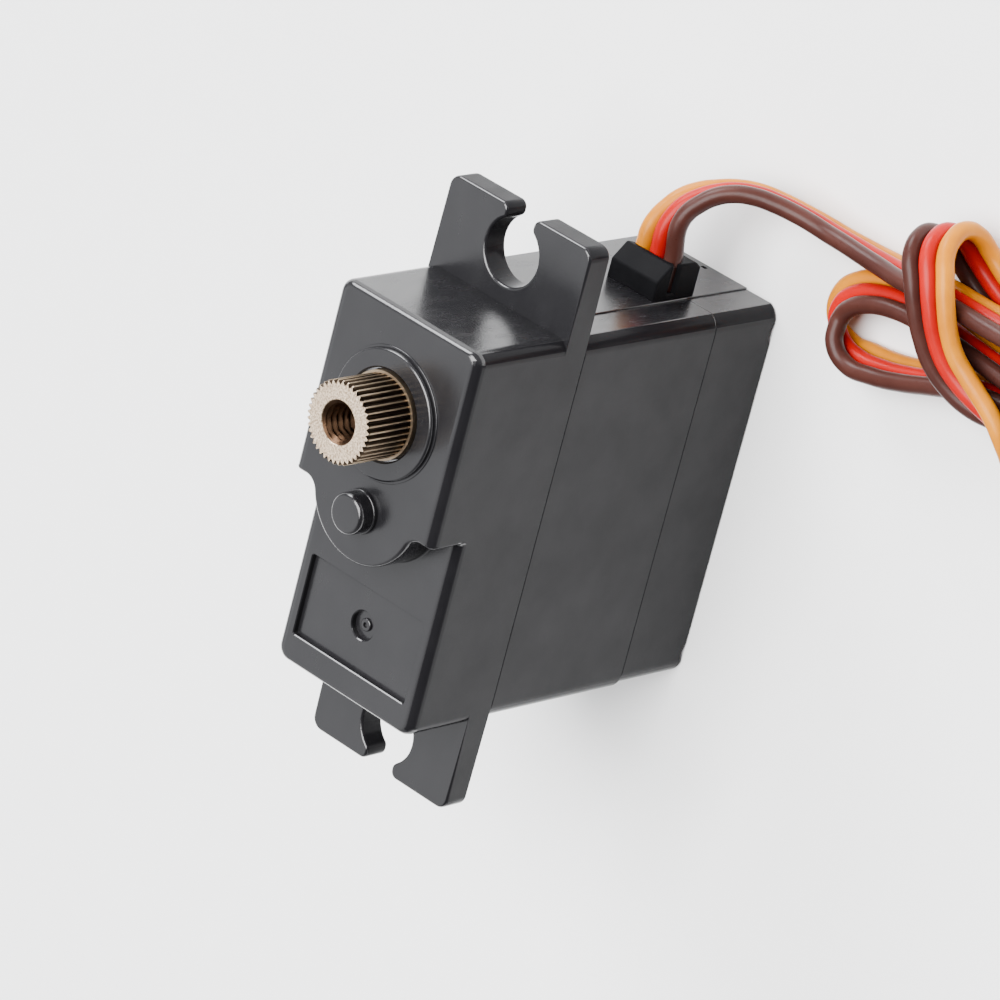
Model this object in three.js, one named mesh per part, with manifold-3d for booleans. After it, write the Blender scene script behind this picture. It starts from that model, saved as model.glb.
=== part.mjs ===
// Small metal-gear servo motor with its three-wire lead, in millimetres.
// The origin is the centre of the base. +Z points up along the output shaft, +X points to the end
// where the lead leaves the case, and the two large side faces are at -Y and +Y.
import * as THREE from 'three';
import { mergeVertices } from 'three/addons/utils/BufferGeometryUtils.js';
import Module from 'manifold-3d';

// ---------------------------------------------------------------- driving dimensions
const CASE = { halfLength: 13.05, halfWidth: 6, corner: 1.2, upperCorner: 0.9, wall: 0.9, gearWall: 0.8 };
const Z = {
  coverFloor: 1.0, // inside of the bottom cover's floor
  coverTop: 5.8, // seam between bottom cover and middle case
  deckUnder: 16.65, // underside of the gear deck
  deck: 17.85, // seam between middle case and upper case, just under the ears
  earTop: 19.75,
  motorRoof: 24.98, // low roof over the motor end
  towerRoof: 27.5, // high roof over the output end
  bossTop: 27.9,
  bumpTop: 28.85,
  splineBase: 28.05,
  splineTip: 31.6,
};
const EAR = { tip: 19.0, bottom: 17.9, corner: 0.8, slotX: 16.3, slotRadius: 2.14, mouth: 1.1, lobe: 0.5 };
const TOWER = { stepX: 0.2, bulgeX: 1.0, bulgeRadius: 4.3, fillet: 1.0, bossRadius: 4.09, bumpRadius: 1.31 };
const ROOF_PANEL = { x0: -11.1, x1: -5.6, halfWidth: 4.9, corner: 0.15, depth: 0.38 };
const ROOF_POCKET = { x: -8.2, radius: 0.94, depth: 0.78, ring: 0.42, ringBore: 0.18, ringHeight: 0.16 };
const GEAR_ROOM = { top: 23.95, outputRadius: 5.2, outputTop: 24.75, idlerRadius: 2.5, idlerTop: 24.95 };
const DECK_HOLE = 1.6; // radius of the holes for the motor bush and the deck bush
const IDLER_X = 0.05; // axis of the fixed gear axle
const OUTPUT_X = 6.55; // axis of the output shaft
const SCREW = { x: 11.2, y: 4.7, post: 1.3, clear: 0.85, shank: 0.75, head: 1.25, bore: 1.28 };
const BORE_RIM = { radius: 1.6, depth: 0.4 }; // the flared mouth of each screw's bore, open to the side
const SCREW_HEAD = { top: 1.55, height: 1.1, tip: 22.2, crossReach: 0.72, crossHalf: 0.14, crossDepth: 0.55 };
const PANEL_EDGE = 3.2; // half width of the raised middle of the end faces
const PANEL_STEP = 0.1;
const COVER_STEP = 0.2; // the bottom cover is this much shorter at the motor end

// Gears: teeth, module and the heights of each wheel. Axes are 6.5 mm apart after the first stage.
const ADDENDUM = 0.92;
const DEDENDUM = 1.2;
const PRESSURE_ANGLE = THREE.MathUtils.degToRad(20);
const PLAY = 0.09; // tooth thinning at the pitch circle, in modules
const STRAIGHT_FLANKS = 30; // above this many teeth the flanks are nearly straight
const STAGE_1 = { module: 0.2, pinion: 10, wheel: 48 };
const STAGE_2 = { module: 0.25, pinion: 13, wheel: 39 };
const STAGE_3 = { module: 0.25, pinion: 13, wheel: 39 };
const STAGE_4 = { module: 0.325, pinion: 11, wheel: 29 };
const MOTOR_X = IDLER_X - (STAGE_1.module * (STAGE_1.pinion + STAGE_1.wheel)) / 2;
const LEVEL = {
  pinion: [18.0, 19.5],
  wheel1: [18.3, 19.3],
  small1: [19.3, 20.9],
  wheel2: [19.6, 20.7],
  small2: [20.7, 22.5],
  wheel3: [21.2, 22.2],
  small3: [22.2, 24.6],
  output: [23.0, 24.5],
};
const AXLE = { radius: 0.75, bottom: 17.0, top: 28.2 };
const RUNNING_PLAY = 0.06;
const SEAT_PLAY = 0.03; // round a piece that is held and doesn't turn
const HUB_RADIUS = 1.25;

// Output shaft and its ball bearing.
const SPLINE = { teeth: 40, radius: 2.6, root: 2.4, hole: 1.09, holeBottom: 25.4, mouth: 1.25 };
const JOURNAL_RADIUS = 2.75;
const SHOULDER = { lower: 1.8, upper: 3.0 }; // radii of the output gear's collars
const BEARING = { bottom: 24.8, top: 27.3, inner: 2.8, innerWall: 3.2, outerWall: 4.0, outer: 4.5 };
const CAGE = { balls: 8, ballRadius: 0.38, halfWall: 0.14, halfHeight: 0.45 };
const LIP_RADIUS = 3.05;

// Motor.
const CAN = { radius: 4.9, inner: 4.5, bottom: 6.4, top: 16.35, roof: 15.85 };
const MOTOR_BUSH = { radius: 1.45, bottom: 15.4, top: 17.3 };
const END_CAP = { bottom: 4.6, top: 6.35 };
const SHAFT_RADIUS = 0.5;
const ARMATURE = { bottom: 9.2, top: 14.8, radius: 3.5, shoe: 0.6, hub: 1.2, arm: 1.3 };
const COIL = { from: 1.55, to: 2.55, halfWidth: 1.2, overhang: 0.45 };
const MAGNET = { inner: 3.75, outer: 4.45, bottom: 7.6, top: 15.3, span: 128 };
const COMMUTATOR = { radius: 1.1, bottom: 6.85, top: 8.4, slotHalf: 0.08 };
const BRUSH = { from: 1.16, to: 2.6, armFrom: 2.3, halfWidth: 0.6, bottom: 7.0, top: 8.1 };
const TERMINAL = { y: 3, radius: 0.3, top: 7.2 };

// Position sensor (potentiometer) on the lower end of the output axis.
const SENSOR = { radius: 4.2, wall: 0.5, bottom: 12.4, top: 16.4, baseTop: 13.0, shaft: 1.0, shaftTop: 24.2 };
const TRACK = { inner: 2.0, outer: 3.4, thickness: 0.15, gapHalf: 0.7 };

// Circuit board.
const BOARD = { halfLength: 9.85, halfWidth: 4.9, corner: 0.3, bottom: 2.6, top: 3.4 };
const BOARD_PAD = { x: 7, y: 4.2, radius: 0.6 }; // posts in the cover that the board lies on
// What stands on the board: [x0, x1, y0, y1, height].
const BOARD_PIECES = {
  control_chip: [1.2, 5.2, -2.4, 1.6, 1.0],
  motor_driver_chip: [0.6, 4.6, 2.2, 4.6, 1.2],
  board_capacitor: [5.6, 8.2, 2.4, 4.0, 1.4],
};

// Lead: three insulated wires side by side, their strain relief, hank and connector.
const WIRE = { diameter: 1.15, pitch: 1.2, sides: 8 };
const RELIEF = { y: -1.0, z: 6.95, halfWidth: 2.0, front: 15.3, bottom: 5.0, top: 8.85 };
const SLOT = { halfWidth: 1.85, bottom: Z.coverTop, top: 8.1 };
const NOTCH = { depth: 0.45, z: 7.3, halfHeight: 0.6 }; // V cut in each side edge of the strain relief
const HANK = { x: 18.0, radius: 6.4, near: -18.2, far: -42.0, height: 5.0 };
const PLUG = { x: 7.1, near: -36.2, length: 14, width: 7.6, height: 2.6, pitch: 2.54, cell: 1.5 };
const PLUG_WINDOW = { from: -8.4, to: -5.6, halfWidth: 0.6 };
// Centre line of the middle wire as [x, y, z, azimuth, dip, pitch]. Azimuth and dip, in degrees, give
// the direction from the middle wire to the signal wire: dip 90 has the signal wire straight below.
const LEAD_ROUTE = [
  [15.6, -1.0, 6.95, 90, 0, 1.2],
  [16.35, -0.95, 6.95, 90, 5, 1.2],
  [17.1, -0.95, 6.8, 88, 17, 1.2],
  [17.8, -1.05, 6.5, 80, 32, 1.2],
  [18.5, -1.3, 6.1, 66, 48, 1.2],
  [19.15, -1.8, 5.55, 50, 64, 1.2],
  [19.75, -2.55, 4.95, 32, 79, 1.2],
  [20.2, -3.5, 4.25, 20, 90, 1.2],
  [20.4, -4.7, 3.55, 10, 98, 1.2],
  [20.35, -6.0, 2.95, 5, 103, 1.2],
  [20.2, -7.4, 2.45, 2, 105, 1.2],
  [20.05, -8.7, 2.12, 0, 105, 1.2],
  [19.9, -10.0, 1.92, 0, 104, 1.2],
  [19.85, -11.7, 1.88, 0, 102, 1.2],
];
const TAIL_ROUTE = [
  [9.85, -30.9, 1.3, 145, 0, 1.25],
  [9.1, -32.0, 1.3, 147, 0, 1.35],
  [8.4, -33.1, 1.3, 150, 0, 1.65],
  [7.8, -34.2, 1.3, 155, 0, 2.1],
  [7.3, -35.1, 1.3, 166, 0, 2.45],
  [7.1, -35.9, 1.3, 180, 0, 2.54],
];

// ---------------------------------------------------------------- solids
const wasm = await Module();
wasm.setup();

// A three.js geometry as a closed solid that can be joined and cut.
function solid(geometry) {
  const bare = geometry.index ? geometry.toNonIndexed() : geometry.clone();
  for (const name of ['normal', 'uv']) bare.deleteAttribute(name);
  const merged = mergeVertices(bare, 1e-4);
  const vertProperties = merged.attributes.position.array;
  const triVerts = new Uint32Array(merged.index.array);
  return new wasm.Manifold(new wasm.Mesh({ numProp: 3, vertProperties, triVerts }));
}

// A solid back as a three.js geometry.
function geometryOf(body) {
  const mesh = body.getMesh();
  const geometry = new THREE.BufferGeometry();
  geometry.setAttribute('position', new THREE.BufferAttribute(mesh.vertProperties, mesh.numProp));
  geometry.setIndex(new THREE.BufferAttribute(mesh.triVerts, 1));
  const flat = geometry.toNonIndexed();
  flat.computeVertexNormals();
  return flat;
}

const join = (...bodies) => bodies.reduce((all, body) => all.add(body));
const cut = (body, ...tools) => tools.reduce((left, tool) => left.subtract(tool), body);

// A flat outline raised from z0 to z1.
function slab(outline, z0, z1, curveSegments = 4) {
  const depth = z1 - z0;
  const geometry = new THREE.ExtrudeGeometry(outline, { depth, bevelEnabled: false, curveSegments });
  return solid(geometry.translate(0, 0, z0));
}

function box(x0, x1, y0, y1, z0, z1) {
  const geometry = new THREE.BoxGeometry(x1 - x0, y1 - y0, z1 - z0);
  return solid(geometry.translate((x0 + x1) / 2, (y0 + y1) / 2, (z0 + z1) / 2));
}

// An upright cylinder or cone frustum.
function disc(x, y, radius, z0, z1, sides = 24, topRadius = radius) {
  const geometry = new THREE.CylinderGeometry(topRadius, radius, z1 - z0, sides);
  return solid(geometry.rotateX(Math.PI / 2).translate(x, y, (z0 + z1) / 2));
}

// An upright ring with a round hole.
function ring(x, y, inner, outer, z0, z1, sides = 24) {
  return cut(disc(x, y, outer, z0, z1, sides), disc(x, y, inner, z0 - 1, z1 + 1, sides));
}

function roundedRect(x0, x1, y0, y1, r) {
  const outline = new THREE.Shape();
  outline.absarc(x1 - r, y1 - r, r, 0, Math.PI / 2);
  outline.absarc(x0 + r, y1 - r, r, Math.PI / 2, Math.PI);
  outline.absarc(x0 + r, y0 + r, r, Math.PI, Math.PI * 1.5);
  outline.absarc(x1 - r, y0 + r, r, Math.PI * 1.5, Math.PI * 2);
  return outline;
}

function polygon(points) {
  return new THREE.Shape(points.map(([x, y]) => new THREE.Vector2(x, y)));
}

// ---------------------------------------------------------------- gears
const involute = (angle) => Math.tan(angle) - angle;

// Half the angle that a tooth covers at a radius, for an involute flank that is radial below its base circle.
function toothHalfAngle(teeth, module, radius) {
  const pitch = (module * teeth) / 2;
  const base = pitch * Math.cos(PRESSURE_ANGLE);
  const atPitch = Math.PI / (2 * teeth) - (PLAY * module) / (2 * pitch);
  const lean = radius > base ? involute(Math.acos(base / radius)) : 0;
  return atPitch + involute(PRESSURE_ANGLE) - lean;
}

function gearOutline(teeth, module) {
  const pitch = (module * teeth) / 2;
  const root = pitch - DEDENDUM * module;
  const tip = pitch + ADDENDUM * module;
  const flank = teeth > STRAIGHT_FLANKS ? [root, tip] : [root, pitch, tip];
  const profile = flank.map((radius) => [
    radius,
    toothHalfAngle(teeth, module, radius),
  ]);
  const points = [];
  for (let i = 0; i < teeth; i++) {
    const middle = (i * 2 * Math.PI) / teeth;
    const rising = profile.map(([radius, half]) => [radius, middle - half]);
    const falling = profile.map(([radius, half]) => [radius, middle + half]).reverse();
    for (const [radius, angle] of [...rising, ...falling]) {
      points.push([radius * Math.cos(angle), radius * Math.sin(angle)]);
    }
  }
  return polygon(points);
}

// A toothed wheel on an upright axis. A turn of half a tooth puts a gap where a tooth would be.
function gear(x, teeth, module, [z0, z1], turn = 0) {
  return slab(gearOutline(teeth, module), z0, z1).rotate([0, 0, turn]).translate([x, 0, 0]);
}

// ---------------------------------------------------------------- case
const screwPlaces = [1, -1].flatMap((sx) => [1, -1].map((sy) => [sx * SCREW.x, sy * SCREW.y]));

// A block from a screw's axis out past the wall, along X or, if crossed, along Y.
function boxToward(from, sign, low, high, z0, z1, crossed = false) {
  const [near, far] = [Math.min(from, from + sign * 2), Math.max(from, from + sign * 2)];
  return crossed ? box(low, high, near, far, z0, z1) : box(near, far, low, high, z0, z1);
}

// Corner posts that carry the screws, each clipped to the inside of the outline.
function screwPosts(z0, z1, within) {
  const posts = screwPlaces.map(([x, y]) =>
    join(
      disc(x, y, SCREW.post, z0, z1, 16),
      boxToward(x, Math.sign(x), y - SCREW.post, y + SCREW.post, z0, z1),
      boxToward(y, Math.sign(y), x - SCREW.post, x + SCREW.post, z0, z1, true),
    ),
  );
  return join(...posts).intersect(slab(within, z0, z1));
}

const screwHoles = (radius, z0, z1) => join(...screwPlaces.map(([x, y]) => disc(x, y, radius, z0, z1, 16)));

function caseOutline(motorEnd = CASE.halfLength, corner = CASE.corner) {
  return roundedRect(-motorEnd, CASE.halfLength, -CASE.halfWidth, CASE.halfWidth, corner);
}

function caseCavity(wall, z0, z1) {
  const x = CASE.halfLength - CASE.wall;
  const y = CASE.halfWidth - wall;
  return slab(roundedRect(-x, x, -y, y, 0.5), z0, z1, 3);
}

// The end face by the lead has a raised middle: both of its edges are cut back a little.
function endFaceSteps(z0, z1) {
  const x0 = CASE.halfLength - PANEL_STEP;
  const x1 = CASE.halfLength + 1;
  return join(box(x0, x1, PANEL_EDGE, 9, z0, z1), box(x0, x1, -9, -PANEL_EDGE, z0, z1));
}

const boardPad = (x, y) => disc(x, y, BOARD_PAD.radius, Z.coverFloor - 0.1, BOARD.bottom, 12);

function bottomCover() {
  const outside = caseOutline(CASE.halfLength - COVER_STEP);
  const shell = cut(slab(outside, 0, Z.coverTop), caseCavity(CASE.wall, Z.coverFloor, Z.coverTop + 1));
  const posts = screwPosts(Z.coverFloor - 0.1, Z.coverTop, outside);
  const pads = [1, -1].flatMap((sx) =>
    [1, -1].map((sy) => boardPad(sx * BOARD_PAD.x, sy * BOARD_PAD.y)),
  );
  return cut(
    join(shell, posts, ...pads),
    screwHoles(SCREW.clear, -1, Z.coverTop + 1),
    screwHoles(SCREW.bore, -1, SCREW_HEAD.top),
    ...screwPlaces.map(([x, y]) => disc(x, y, BORE_RIM.radius, -0.01, BORE_RIM.depth, 16, SCREW.bore)),
    endFaceSteps(-1, Z.coverTop + 1),
  );
}

function middleCase() {
  const outline = caseOutline();
  const shell = cut(slab(outline, Z.coverTop, Z.deck), caseCavity(CASE.wall, Z.coverTop - 1, Z.deckUnder));
  const posts = screwPosts(Z.coverTop, Z.deckUnder + 0.1, outline);
  return cut(
    join(shell, posts),
    screwHoles(SCREW.clear, Z.coverTop - 1, Z.deck + 1),
    disc(MOTOR_X, 0, DECK_HOLE, Z.deckUnder - 1, Z.deck + 1),
    disc(OUTPUT_X, 0, DECK_HOLE, Z.deckUnder - 1, Z.deck + 1),
    disc(IDLER_X, 0, AXLE.radius + SEAT_PLAY, AXLE.bottom - 0.05, Z.deck + 1, 16),
    box(12, 14, RELIEF.y - SLOT.halfWidth, RELIEF.y + SLOT.halfWidth, Z.coverTop - 1, SLOT.top),
    endFaceSteps(Z.coverTop - 1, Z.deck - 0.6),
  );
}

// One mounting ear's open slot: a round hole with a parallel mouth, rounded off at the tip.
function earSlot(side) {
  const z0 = Z.deck - 1;
  const z1 = Z.earTop + 1;
  const x = side * EAR.slotX;
  const beyond = side * (EAR.tip + 2);
  const mouth = box(Math.min(x, beyond), Math.max(x, beyond), -EAR.mouth, EAR.mouth, z0, z1);
  const inner = side * (EAR.tip - EAR.lobe);
  const edge = EAR.mouth + EAR.lobe;
  const corner = box(Math.min(inner, beyond), Math.max(inner, beyond), -edge, edge, z0, z1);
  const lobes = [1, -1].map((end) => disc(inner, end * edge, EAR.lobe, z0 - 1, z1 + 1, 24));
  return join(disc(x, 0, EAR.slotRadius, z0, z1, 24), mouth, cut(corner, ...lobes));
}

// Outline of the high roof: the output end with a round bulge over the idler axle.
function towerBody() {
  const { stepX, bulgeX, bulgeRadius, fillet } = TOWER;
  const [z0, z1] = [Z.motorRoof - 0.5, Z.towerRoof];
  const end = roundedRect(stepX, CASE.halfLength, -CASE.halfWidth, CASE.halfWidth, CASE.upperCorner);
  const square = box(stepX, stepX + 3, -CASE.halfWidth, CASE.halfWidth, z0, z1);
  const bulge = disc(bulgeX, 0, bulgeRadius, z0, z1, 40);
  const corners = [1, -1].map((side) => {
    const x = stepX - fillet;
    const y = side * Math.sqrt((bulgeRadius + fillet) ** 2 - (bulgeX - x) ** 2);
    const inner = side * (bulgeRadius / 2);
    const web = box(x, stepX + 0.1, Math.min(y, inner), Math.max(y, inner), z0, z1);
    return cut(web, disc(x, y, fillet, z0 - 1, z1 + 1, 20));
  });
  return join(slab(end, z0, z1), square, bulge, ...corners);
}

// Shallow panel in the low roof with a small round pocket and a low ring in it.
function roofRecess() {
  const { x0, x1, halfWidth, corner, depth } = ROOF_PANEL;
  const outline = roundedRect(x0, x1, -halfWidth, halfWidth, corner);
  const panel = slab(outline, Z.motorRoof - depth, Z.motorRoof + 1, 3);
  const { x, radius, depth: sink, ring, ringBore, ringHeight } = ROOF_POCKET;
  const bottom = Z.motorRoof - sink;
  const pocket = disc(x, 0, radius, bottom, Z.motorRoof + 1);
  const ringWall = cut(
    disc(x, 0, ring, bottom - 0.1, bottom + ringHeight, 16),
    disc(x, 0, ringBore, bottom, Z.motorRoof, 12),
  );
  return join(panel, cut(pocket, ringWall));
}

function upperCase() {
  const skirt = slab(caseOutline(CASE.halfLength, CASE.upperCorner), Z.deck, Z.motorRoof);
  const ears = slab(
    roundedRect(-EAR.tip, EAR.tip, -CASE.halfWidth, CASE.halfWidth, EAR.corner),
    EAR.bottom,
    Z.earTop,
  );
  const boss = disc(OUTPUT_X, 0, TOWER.bossRadius, Z.towerRoof - 0.5, Z.bossTop, 40);
  const bump = join(
    disc(IDLER_X, 0, TOWER.bumpRadius + 0.11, Z.towerRoof - 0.5, Z.towerRoof + 0.3, 24),
    disc(IDLER_X, 0, TOWER.bumpRadius, Z.towerRoof, Z.bumpTop, 24),
  );
  const posts = screwPosts(Z.deck, GEAR_ROOM.top + 0.25, caseOutline());
  const rooms = cut(caseCavity(CASE.gearWall, Z.deck - 1, GEAR_ROOM.top), posts);
  return cut(
    join(skirt, ears, towerBody(), boss, bump),
    rooms,
    disc(OUTPUT_X, 0, GEAR_ROOM.outputRadius, Z.earTop, GEAR_ROOM.outputTop, 32),
    disc(IDLER_X, 0, GEAR_ROOM.idlerRadius, Z.earTop, GEAR_ROOM.idlerTop, 20),
    disc(OUTPUT_X, 0, BEARING.outer + SEAT_PLAY, GEAR_ROOM.top, BEARING.top, 36),
    disc(OUTPUT_X, 0, LIP_RADIUS, GEAR_ROOM.top, Z.bossTop + 1, 32),
    disc(IDLER_X, 0, AXLE.radius + SEAT_PLAY, Z.earTop, AXLE.top + 0.05, 16),
    screwHoles(SCREW.shank + 0.05, Z.deck - 1, SCREW_HEAD.tip + 0.5),
    earSlot(1),
    earSlot(-1),
    roofRecess(),
  );
}

function caseScrew(x, y) {
  const { top, height, tip, crossReach, crossHalf, crossDepth } = SCREW_HEAD;
  const head = disc(x, y, SCREW.head, top - height, top, 16);
  const shank = disc(x, y, SCREW.shank, top - 0.1, tip, 12);
  const z0 = top - height - 1;
  const z1 = top - height + crossDepth;
  const cross = join(
    box(x - crossReach, x + crossReach, y - crossHalf, y + crossHalf, z0, z1),
    box(x - crossHalf, x + crossHalf, y - crossReach, y + crossReach, z0, z1),
  );
  return cut(join(head, shank), cross);
}

// ---------------------------------------------------------------- gear train
const idlerAxle = () => disc(IDLER_X, 0, AXLE.radius, AXLE.bottom, AXLE.top, 16);
const axleBore = () => disc(IDLER_X, 0, AXLE.radius + RUNNING_PLAY, Z.deckUnder, Z.towerRoof, 16);

function gear1() {
  return cut(
    join(
      disc(IDLER_X, 0, HUB_RADIUS, LEVEL.pinion[0], LEVEL.wheel1[0] + 0.1),
      gear(IDLER_X, STAGE_1.wheel, STAGE_1.module, LEVEL.wheel1, 180 / STAGE_1.wheel),
      gear(IDLER_X, STAGE_2.pinion, STAGE_2.module, LEVEL.small1),
    ),
    axleBore(),
  );
}

function gear2() {
  return cut(
    join(
      disc(OUTPUT_X, 0, HUB_RADIUS + 0.1, LEVEL.wheel2[0] - 0.2, LEVEL.wheel2[0] + 0.1),
      gear(OUTPUT_X, STAGE_2.wheel, STAGE_2.module, LEVEL.wheel2),
      gear(OUTPUT_X, STAGE_3.pinion, STAGE_3.module, LEVEL.small2),
    ),
    disc(OUTPUT_X, 0, SENSOR.shaft + RUNNING_PLAY, Z.deckUnder, Z.towerRoof, 16),
  );
}

function gear3() {
  return cut(
    join(
      disc(IDLER_X, 0, HUB_RADIUS, LEVEL.wheel3[0] - 0.2, LEVEL.wheel3[0] + 0.1),
      gear(IDLER_X, STAGE_3.wheel, STAGE_3.module, LEVEL.wheel3),
      gear(IDLER_X, STAGE_4.pinion, STAGE_4.module, LEVEL.small3),
    ),
    axleBore(),
  );
}

// A fine V-tooth spline, as a star outline.
function splineOutline() {
  const points = [];
  const crest = Math.PI / SPLINE.teeth / 4;
  for (let i = 0; i < SPLINE.teeth; i++) {
    const angle = (i * 2 * Math.PI) / SPLINE.teeth;
    const gap = angle + Math.PI / SPLINE.teeth;
    points.push([SPLINE.radius * Math.cos(angle - crest), SPLINE.radius * Math.sin(angle - crest)]);
    points.push([SPLINE.radius * Math.cos(angle + crest), SPLINE.radius * Math.sin(angle + crest)]);
    points.push([SPLINE.root * Math.cos(gap), SPLINE.root * Math.sin(gap)]);
  }
  return polygon(points);
}

function outputGear() {
  const [z0, z1] = LEVEL.output;
  return cut(
    join(
      disc(OUTPUT_X, 0, SHOULDER.lower, z0 - 0.25, z0 + 0.1),
      gear(OUTPUT_X, STAGE_4.wheel, STAGE_4.module, LEVEL.output),
      disc(OUTPUT_X, 0, SHOULDER.upper, z1 - 0.1, BEARING.bottom, 20),
      disc(OUTPUT_X, 0, JOURNAL_RADIUS, z1, Z.splineBase, 32),
      slab(splineOutline(), Z.splineBase - 0.1, Z.splineTip).translate([OUTPUT_X, 0, 0]),
    ),
    disc(OUTPUT_X, 0, SPLINE.hole, SPLINE.holeBottom, Z.splineTip + 1, 16),
    disc(OUTPUT_X, 0, SPLINE.hole, Z.splineTip - 0.2, Z.splineTip + 0.01, 16, SPLINE.mouth),
    disc(OUTPUT_X, 0, SENSOR.shaft + SEAT_PLAY, Z.earTop, SENSOR.shaftTop + 0.15, 16),
  );
}

function ballCage() {
  const middle = (BEARING.bottom + BEARING.top) / 2;
  const track = (BEARING.innerWall + BEARING.outerWall) / 2;
  const { balls, ballRadius, halfWall, halfHeight } = CAGE;
  const [z0, z1] = [middle - halfHeight, middle + halfHeight];
  const parts = [ring(OUTPUT_X, 0, track - halfWall, track + halfWall, z0, z1)];
  for (let i = 0; i < balls; i++) {
    const angle = (i * 2 * Math.PI) / balls;
    const ball = new THREE.SphereGeometry(ballRadius, 8, 4);
    ball.translate(OUTPUT_X + track * Math.cos(angle), track * Math.sin(angle), middle);
    parts.push(solid(ball));
  }
  return join(...parts);
}

// ---------------------------------------------------------------- motor
function motorCan() {
  const side = ring(MOTOR_X, 0, CAN.inner, CAN.radius, CAN.bottom, CAN.top, 30);
  return join(side, ring(MOTOR_X, 0, MOTOR_BUSH.radius + SEAT_PLAY, CAN.radius, CAN.roof, CAN.top, 30));
}

function terminal(side, radius) {
  return disc(MOTOR_X, side * TERMINAL.y, radius, BOARD.top + 0.02, TERMINAL.top, 8);
}

function motorEndCap() {
  return cut(
    join(
      disc(MOTOR_X, 0, CAN.radius, END_CAP.bottom, END_CAP.top, 30),
      disc(MOTOR_X, 0, HUB_RADIUS, END_CAP.bottom - 0.5, END_CAP.bottom + 0.1),
    ),
    disc(MOTOR_X, 0, SHAFT_RADIUS + 0.04, END_CAP.bottom, END_CAP.top + 1, 16),
    ...[1, -1].map((side) => terminal(side, TERMINAL.radius + 0.05)),
  );
}

function magnet(side) {
  const half = THREE.MathUtils.degToRad(MAGNET.span / 2);
  const facing = side > 0 ? 0 : Math.PI;
  const outline = new THREE.Shape();
  outline.absarc(0, 0, MAGNET.outer, facing - half, facing + half, false);
  outline.absarc(0, 0, MAGNET.inner, facing + half, facing - half, true);
  return slab(outline, MAGNET.bottom, MAGNET.top).translate([MOTOR_X, 0, 0]);
}

// One of three poles: an arm from the hub to a curved shoe.
function armatureCore() {
  const { bottom, top, radius, shoe, hub, arm } = ARMATURE;
  const half = THREE.MathUtils.degToRad(49);
  const outline = new THREE.Shape();
  outline.absarc(0, 0, radius, -half, half, false);
  outline.absarc(0, 0, radius - shoe, half, -half, true);
  const pole = join(slab(outline, bottom, top), box(0.8, radius - 0.2, -arm / 2, arm / 2, bottom, top));
  const poles = [0, 120, 240].map((turn) => pole.rotate([0, 0, turn]));
  const star = cut(join(disc(0, 0, hub, bottom, top), ...poles), disc(0, 0, SHAFT_RADIUS + 0.02, 0, 30, 16));
  return star.translate([MOTOR_X, 0, 0]);
}

function armatureCoil(index) {
  const { bottom, top, radius, arm } = ARMATURE;
  const { from, to, halfWidth, overhang } = COIL;
  const inside = arm / 2 + SEAT_PLAY;
  const wound = box(from, to, -halfWidth, halfWidth, bottom - overhang, top + overhang);
  const gap = box(1, radius, -inside, inside, bottom - SEAT_PLAY, top + SEAT_PLAY);
  return cut(wound, gap).rotate([0, 0, index * 120]).translate([MOTOR_X, 0, 0]);
}

function commutator() {
  const { radius, bottom, top, slotHalf } = COMMUTATOR;
  const slot = box(radius - 0.25, radius + 1, -slotHalf, slotHalf, bottom - 1, top + 1);
  const slots = [60, 180, 300].map((turn) => slot.rotate([0, 0, turn]));
  return cut(ring(0, 0, SHAFT_RADIUS + 0.02, radius, bottom, top, 12), ...slots).translate([MOTOR_X, 0, 0]);
}

function brush(side) {
  const { from, to, armFrom, halfWidth, bottom, top } = BRUSH;
  const block = box(from, to, -halfWidth, halfWidth, bottom, top);
  const arm = box(armFrom, to, -halfWidth, halfWidth, END_CAP.top + SEAT_PLAY, bottom + 0.1);
  return join(block, arm).rotate([0, 0, side > 0 ? 0 : 180]).translate([MOTOR_X, 0, 0]);
}

// ---------------------------------------------------------------- position sensor and board
function sensorHousing() {
  const { radius, wall, bottom, top, shaft } = SENSOR;
  const side = ring(OUTPUT_X, 0, radius - wall, radius, bottom, top);
  return join(side, ring(OUTPUT_X, 0, shaft + RUNNING_PLAY, radius, top - 0.6, top));
}

function sensorTrack() {
  const { inner, outer, thickness, gapHalf } = TRACK;
  const z0 = SENSOR.baseTop + 0.01;
  const full = ring(OUTPUT_X, 0, inner, outer, z0, SENSOR.baseTop + thickness, 20);
  return cut(full, box(OUTPUT_X - gapHalf, OUTPUT_X + gapHalf, -outer - 1, 0, z0 - 1, z0 + 1));
}

function sensorWiper() {
  const reach = 3.0;
  const z = SENSOR.baseTop;
  const hub = ring(OUTPUT_X, 0, SENSOR.shaft + SEAT_PLAY, 1.7, z + 0.8, z + 1.5, 16);
  const arm = box(OUTPUT_X - 0.45, OUTPUT_X + 0.45, 1.5, reach, z + 0.9, z + 1.2);
  const finger = box(OUTPUT_X - 0.3, OUTPUT_X + 0.3, reach - 0.4, reach, z + 0.2, z + 1);
  return join(hub, arm, finger);
}

// A round wire swept along a list of points.
function tube(points, diameter, sides, steps) {
  const path = new THREE.CatmullRomCurve3(points.map((p) => new THREE.Vector3(...p)), false, 'centripetal');
  const outline = new THREE.Shape();
  for (let i = 0; i <= sides; i++) {
    const angle = (i * 2 * Math.PI) / sides;
    const place = [(diameter / 2) * Math.cos(angle), (diameter / 2) * Math.sin(angle)];
    if (i === 0) outline.moveTo(...place);
    else outline.lineTo(...place);
  }
  return solid(new THREE.ExtrudeGeometry(outline, { steps, extrudePath: path, bevelEnabled: false }));
}

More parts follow.
